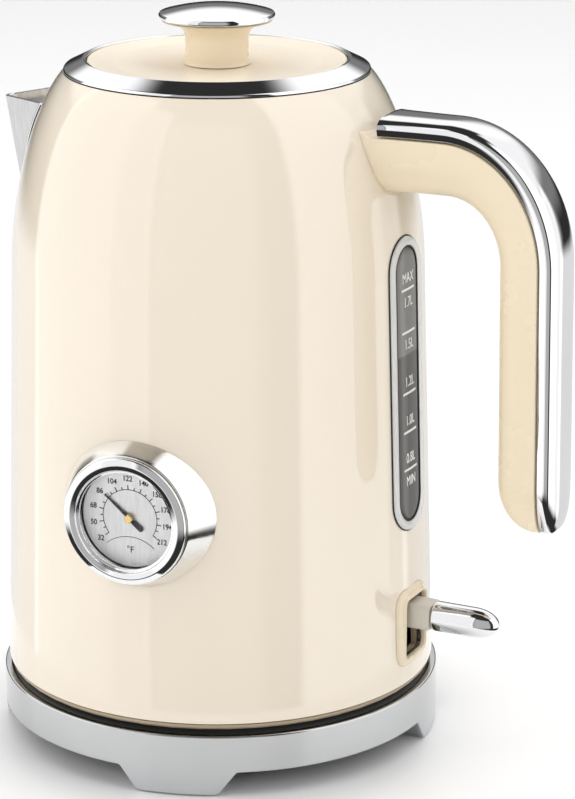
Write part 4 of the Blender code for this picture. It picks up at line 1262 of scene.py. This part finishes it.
# ---- Floor, light and camera ----

camera_angle = math.radians(-62.0)
towards_camera = Vector((math.cos(camera_angle), math.sin(camera_angle), 0))
camera_right = Vector((-towards_camera.y, towards_camera.x, 0))


def make_floor():
    """A white table. Only its middle shows in the bright metal."""
    material = new_material("pale_floor", Roughness=0.3)
    pale, paler = rgb(0.95, 0.95, 0.95), rgb(0.96, 0.96, 0.96)
    tint = place_group(material, tint_drift, Colour=paler, Towards=pale, Scale=2.0, Amount=0.5)
    feed(material, tint.outputs["Colour"], "Base Color")
    near_radius = 0.15
    for name, inner, outer in (("floor_near", 0.0, near_radius), ("floor_far", near_radius, 3.0)):
        shape = bmesh.new()
        steps = 96
        ways = [Vector(around(1.0, math.tau * i / steps, 0)) for i in range(steps)]
        rim = [shape.verts.new(jug_axis + way * outer) for way in ways]
        if inner:
            hole = [shape.verts.new(jug_axis + way * inner) for way in ways]
            for i in range(steps):
                shape.faces.new((hole[i], rim[i], rim[(i + 1) % steps], hole[(i + 1) % steps]))
        else:
            shape.faces.new(rim)
        mesh = to_mesh(name, shape)
        floor = new_object(name, mesh)
        mesh.materials.append(material)
        floor.visible_glossy = not inner


def fill_light(name, turn, height, distance, width, tall, power):
    """A large soft light at a turn to the right of the camera, in degrees, that bright metal doesn't show."""
    angle = camera_angle + math.radians(turn)
    data = bpy.data.lights.new(name, "AREA")
    data.shape = "RECTANGLE"
    data.size, data.size_y = width, tall
    data.energy = power
    light = new_object(name, data)
    light.location = jug_axis + Vector((math.cos(angle), math.sin(angle), 0)) * distance + Vector((0, 0, height))
    way = Vector((jug_axis.x, jug_axis.y, 0.1)) - light.location
    light.rotation_euler = way.to_track_quat("-Z", "Y").to_euler()
    light.visible_glossy = False


# Soft panels of the studio: turn to the right of the camera from and to, height above the horizon from and to,
# softness of the sides and of the ends, all in degrees, then brightness.
studio_panels = (
    (-120, -61, -24, 58, 2.0, 4.0, 1.25),
    (-61, -38, -22, 52, 2.0, 3.0, 0.95),
    (-38, 22, -22, 46, 6.0, 5.0, 0.45),
    (44, 104, -24, 74, 3.0, 5.0, 1.4),
    (104, 150, 20, 66, 4.0, 5.0, 1.0),
    (104, 122, -24, 20, 4.0, 3.0, 1.0),
    (-190, -118, -32, -8, 3.0, 3.0, 0.85),
    (118, 190, -32, -8, 3.0, 3.0, 0.75),
    (-190, -118, 20, 52, 4.0, 5.0, 1.1),
    (150, 190, 20, 54, 4.0, 5.0, 1.1),
    (-190, -118, 6, 20, 4.0, 5.0, 0.18),
    (118, 190, 6, 20, 4.0, 5.0, 0.18),
    (-190, 190, -95, -62, 3.0, 8.0, 0.5),
)


def make_studio():
    """A room painted with soft panels for the metal to mirror, white to the camera itself, and two fill lights."""
    world = bpy.data.worlds.new("studio")
    bpy.context.scene.world = world
    world.use_nodes = True
    tree = world.node_tree

    def math_node(kind, first, second=None):
        node = tree.nodes.new("ShaderNodeMath")
        node.operation = kind
        supply(tree, first, node.inputs[0])
        if second is not None:
            supply(tree, second, node.inputs[1])
        return node.outputs["Value"]

    def dot(vector, axis):
        node = tree.nodes.new("ShaderNodeVectorMath")
        node.operation = "DOT_PRODUCT"
        tree.links.new(vector, node.inputs[0])
        node.inputs[1].default_value = axis
        return node.outputs["Value"]

    def between(value, low, high, softness):
        """1 between two edges and 0 outside them, with soft edges."""
        rise = add_range(tree, value, 0.0, 1.0, low - softness, low + softness)
        fall = add_range(tree, value, 1.0, 0.0, high - softness, high + softness)
        return math_node("MULTIPLY", rise, fall)

    way = tree.nodes.new("ShaderNodeTexCoord").outputs["Generated"]
    turn = math_node("DEGREES", math_node("ARCTAN2", dot(way, camera_right), dot(way, towards_camera)))
    rise = math_node("DEGREES", math_node("ARCSINE", dot(way, (0, 0, 1))))
    total = 0.03
    for left, right, low, high, side_soft, end_soft, bright in studio_panels:
        across, upright = between(turn, left, right, side_soft), between(rise, low, high, end_soft)
        panel = math_node("MULTIPLY", math_node("MULTIPLY", across, upright), bright)
        total = math_node("ADD", panel, total)

    room = tree.nodes["Background"]
    tree.links.new(total, room.inputs["Strength"])
    room.inputs["Color"].default_value = rgb(1.0, 1.0, 1.0)
    white = tree.nodes.new("ShaderNodeBackground")
    white.inputs["Color"].default_value = rgb(1, 1, 1)
    path = tree.nodes.new("ShaderNodeLightPath")
    mix = tree.nodes.new("ShaderNodeMixShader")
    tree.links.new(path.outputs["Is Camera Ray"], mix.inputs["Fac"])
    tree.links.new(room.outputs["Background"], mix.inputs[1])
    tree.links.new(white.outputs["Background"], mix.inputs[2])
    tree.links.new(mix.outputs["Shader"], tree.nodes["World Output"].inputs["Surface"])

    fill_light("front_fill", -16, 0.7, 1.9, 2.4, 1.6, 13)
    fill_light("top_fill", 0, 1.9, -0.5, 3.0, 3.0, 33)


def make_camera():
    data = bpy.data.cameras.new("camera")
    data.sensor_width = 36.0
    data.lens = 139.1
    data.clip_start, data.clip_end = 0.05, 50.0
    camera = new_object("camera", data)
    camera.location = jug_axis + towards_camera * 0.988 + Vector((0, 0, 0.411))
    yaw, pitch = math.radians(1.32), math.radians(16.87)
    level = (-towards_camera * math.cos(yaw) + camera_right * math.sin(yaw)) * math.cos(pitch)
    look = level + Vector((0, 0, -math.sin(pitch)))
    camera.rotation_euler = look.to_track_quat("-Z", "Y").to_euler()
    bpy.context.scene.camera = camera


make_floor()
make_studio()
make_camera()

bpy.context.scene.view_settings.view_transform = "Standard"
